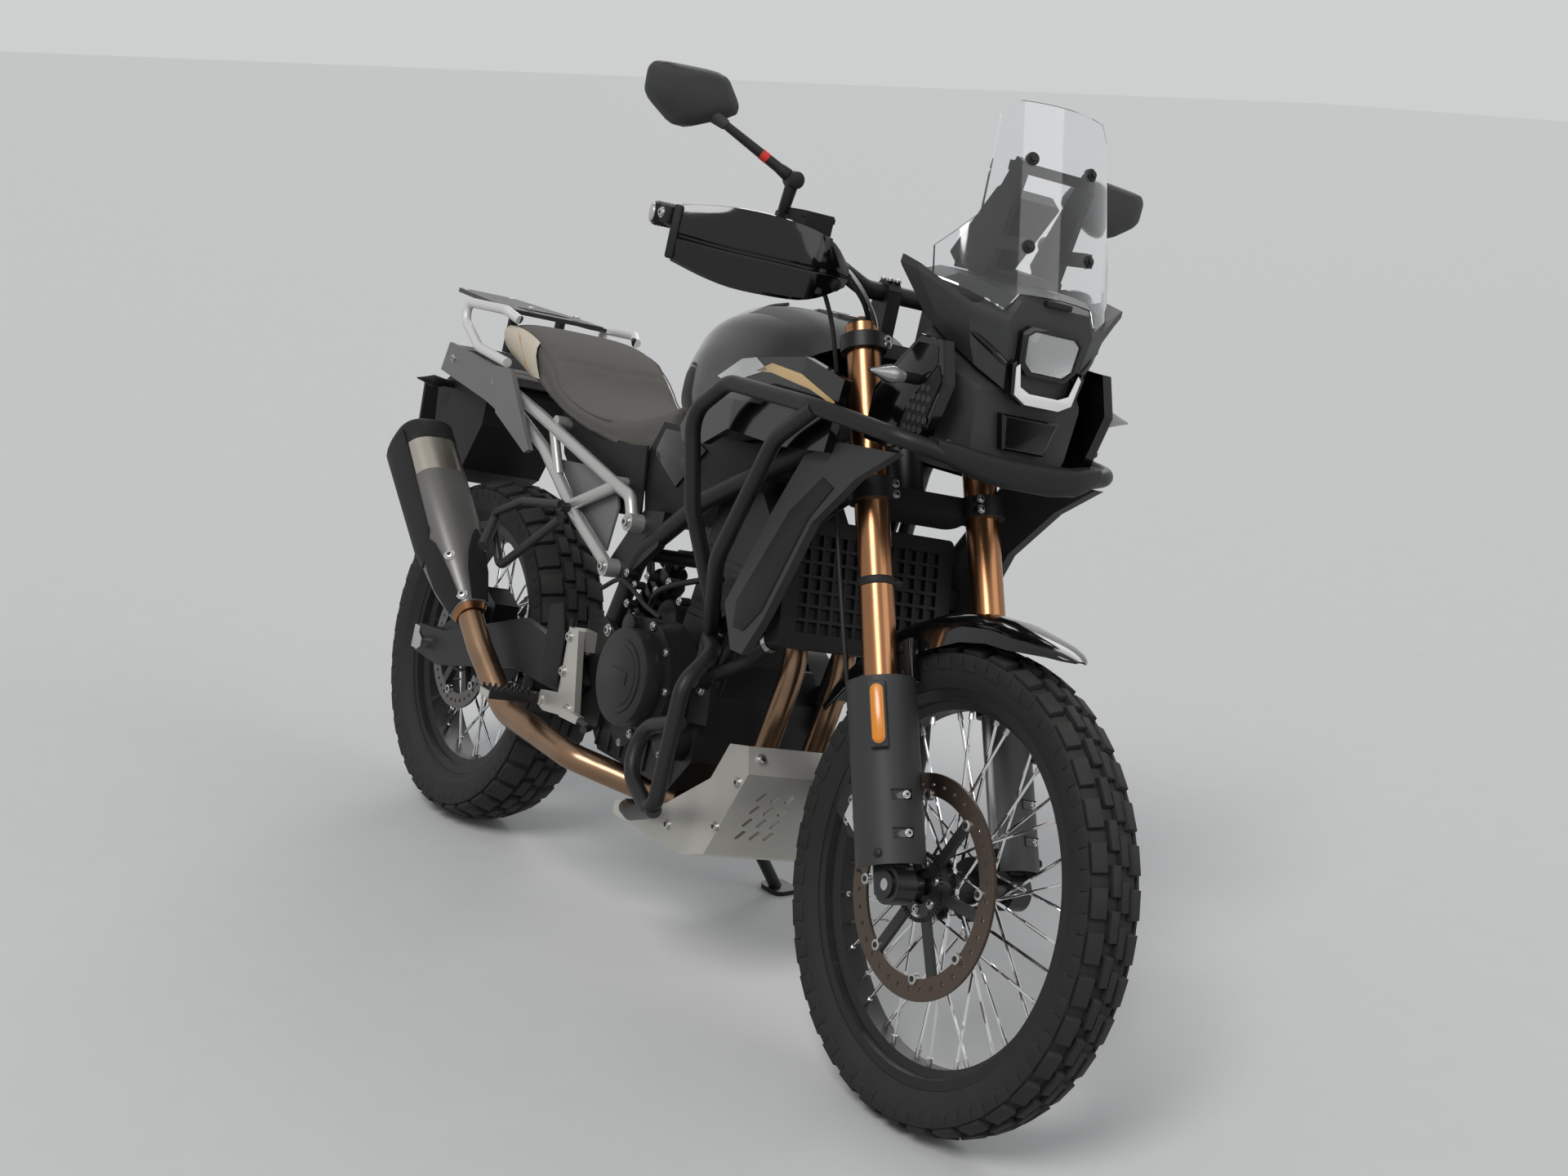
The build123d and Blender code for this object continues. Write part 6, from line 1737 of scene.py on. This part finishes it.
@dataclass
class ChainRun:
    """The roller chain as links along its loop round both sprockets."""

    rear: Vector = field(default_factory=lambda: Vector((0, 88, 326.5)))
    front: Vector = field(default_factory=lambda: Vector((668, 88, 425)))
    rear_radius: float = 112.0
    front_radius: float = 42.0
    pitch: float = 15.875

    def path(self) -> list[tuple[Vector, float]]:
        """The link centres and their angles.

        Returns:
            One point and its tangent's angle for each link.
        """
        across = self.front - self.rear
        span = math.hypot(across.x, across.z)
        rise = math.atan2(across.z, across.x)
        wrap = math.asin((self.rear_radius - self.front_radius) / span)
        points = []
        steps = 400
        arc_rear = math.pi + 2 * wrap
        arc_front = math.pi - 2 * wrap
        for index in range(steps):
            angle = rise + math.pi / 2 - wrap + arc_rear * index / steps
            points.append(self.rear + Vector((math.cos(angle), 0, math.sin(angle))) * self.rear_radius)
        for index in range(steps):
            angle = rise - math.pi / 2 + wrap + arc_front * index / steps
            points.append(self.front + Vector((math.cos(angle), 0, math.sin(angle))) * self.front_radius)
        points.append(points[0])
        total = sum((b - a).length for a, b in zip(points, points[1:]))
        count = round(total / self.pitch)
        count += count % 2
        gap = total / count
        links, walked, wanted = [], 0.0, 0.0
        for a, b in zip(points, points[1:]):
            reach = (b - a).length
            while wanted <= walked + reach and len(links) < count:
                t = (wanted - walked) / reach if reach else 0.0
                links.append((a.lerp(b, t), math.atan2(b.z - a.z, b.x - a.x)))
                wanted += gap
            walked += reach
        return links

    def build(self) -> None:
        """Makes the rollers and plates."""
        shape = Shape()
        for index, (at, angle) in enumerate(self.path()):
            turn = Matrix.Rotation(-angle, 3, "Y")
            shape.rod(at - Vector((0, 6.6, 0)), at + Vector((0, 6.6, 0)), 4.6, STEEL, 8)
            for flank in (-1, 1):
                y = 6.3 if index % 2 else 5.0
                shape.block(at + turn @ Vector((self.pitch / 2, flank * y, 0)), (self.pitch + 7, 1.4, 11.5),
                            CHAIN_STEEL, 0.0, turn)
        chain = shape.finish("roller_chain", Body.CHASSIS, slot="chain_steel")
        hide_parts("drive_chain")


# ---------------------------------------------------------------------------
# Stage
# ---------------------------------------------------------------------------
@dataclass
class Stage:
    """Floor, light and camera."""

    eye: Point = (4078.37, -2160.55, 1106.17)
    right: Point = (0.53020871, 0.819432943, 0.217734646)
    down: Point = (0.217999517, 0.116416371, -0.968980619)
    lens: float = 55.257
    floor_half: float = 60.0
    floor_drop: float = 0.0005
    look_at: Point = (0, 0, 0.6)
    # name, place, strength and angular width of each lamp
    lamps: tuple = (("key", (1.6, -2.2, 3.4), 1.5, 22), ("fill", (3.6, 1.6, 2.4), 0.45, 40),
                    ("rim", (-2.4, 2.4, 2.6), 0.5, 30))

    def camera(self) -> None:
        """Sets the camera from its place about the upright machine."""
        turn = (PARK @ Matrix.Scale(1 / MM, 4)).to_3x3()
        right, down = turn @ Vector(self.right), turn @ Vector(self.down)
        back = right.cross(-down)
        data = bpy.data.cameras.new("camera")
        data.sensor_width = 36
        data.lens = self.lens
        camera = bpy.data.objects.new("camera", data)
        camera.matrix_world = Matrix.Translation(PARK @ Vector(self.eye)) @ Matrix(
            (right, -down, back)).transposed().to_4x4()
        bpy.context.scene.collection.objects.link(camera)
        bpy.context.scene.camera = camera

    def floor(self) -> None:
        """A pale level floor that runs out of sight."""
        bm = bmesh.new()
        bmesh.ops.create_grid(bm, x_segments=1, y_segments=1, size=self.floor_half)
        mesh = bpy.data.meshes.new("floor")
        bm.to_mesh(mesh)
        bm.free()
        floor = bpy.data.objects.new("floor", mesh)
        floor.location.z = -self.floor_drop
        bpy.context.scene.collection.objects.link(floor)
        finish = Finish("pale floor", (0.62, 0.62, 0.61), 0.9, relief=0.05, grain=60, spread=0.05,
                        specular=0.1)
        mesh.materials.append(finish.material())

    def light(self) -> None:
        """A soft key, a fill and a rim light, with an even world."""
        world = bpy.data.worlds.new("studio")
        bpy.context.scene.world = world
        world.use_nodes = True
        wiring = Wiring(world.node_tree)
        base = world.node_tree.nodes["Background"]
        wiring.feed(base, {"Color": (0.92, 0.95, 1.0, 1), "Strength": 0.42})
        seen = wiring.node("Background", {"Color": (0.62, 0.625, 0.63, 1), "Strength": 1.0})
        path = wiring.node("LightPath").outputs
        share = wiring.node("Math", {0: path["Is Camera Ray"], 1: path["Is Transmission Ray"]},
                            operation="MAXIMUM")
        more = wiring.node("Math", {0: share, 1: path["Is Glossy Ray"]}, operation="MAXIMUM")
        mix = wiring.node("MixShader", {0: more, 1: base, 2: seen})
        wiring.feed(world.node_tree.nodes["World Output"], {"Surface": mix})
        for name, at, power, angle in self.lamps:
            data = bpy.data.lights.new(name, "SUN")
            data.energy = power
            data.angle = math.radians(angle)
            lamp = bpy.data.objects.new(name, data)
            lamp.location = at
            lamp.rotation_euler = (Vector(self.look_at) - Vector(at)).to_track_quat("-Z", "Y").to_euler()
            bpy.context.scene.collection.objects.link(lamp)

    def build(self) -> None:
        """Sets the whole stage."""
        bpy.context.scene.view_settings.view_transform = "Standard"
        self.floor()
        self.light()
        self.camera()


def dress_solids() -> None:
    """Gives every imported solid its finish."""
    for name, finish in NODE_FINISHES.items():
        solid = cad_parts[name]
        for slot in solid.material_slots:
            slot.material = finish.material()
        LOG.info("%s: %s", name, finish.name)


def main() -> None:
    """Builds every sub-assembly in order."""
    logging.basicConfig(level=logging.INFO, format="%(name)s: %(message)s")
    dress_solids()
    front = Wheel("front", Body.FRONT_WHEEL, FRONT_AXLE, radius=347.5, rim=281.7, rim_half=33.0, tread=46.0,
                  drop=12.0, hub_flange=46.0, flange_y=30.0, disc=160.0, disc_band=32.0, disc_y=-57.0)
    rear = Wheel("rear", Body.REAR_WHEEL, REAR_AXLE, radius=326.5, rim=243.9, rim_half=47.0, tread=70.0,
                 drop=20.0, hub_flange=62.0, flange_y=34.0, disc=120.0, disc_band=28.0, disc_y=-64.0,
                 groove=20.0)
    for part in (front, rear, FrontEnd(), Lamps(), Indicators(), NoseCowl(), BarCap(), Panels(), TankCover(),
                 ShroudStripes(), Seat(), SideCovers(), Silencer(), EngineFittings(), ChassisFittings(),
                 ChainRun()):
        LOG.info("building %s", type(part).__name__)
        part.build()
    Stage().build()


if __name__ == "__main__":
    main()
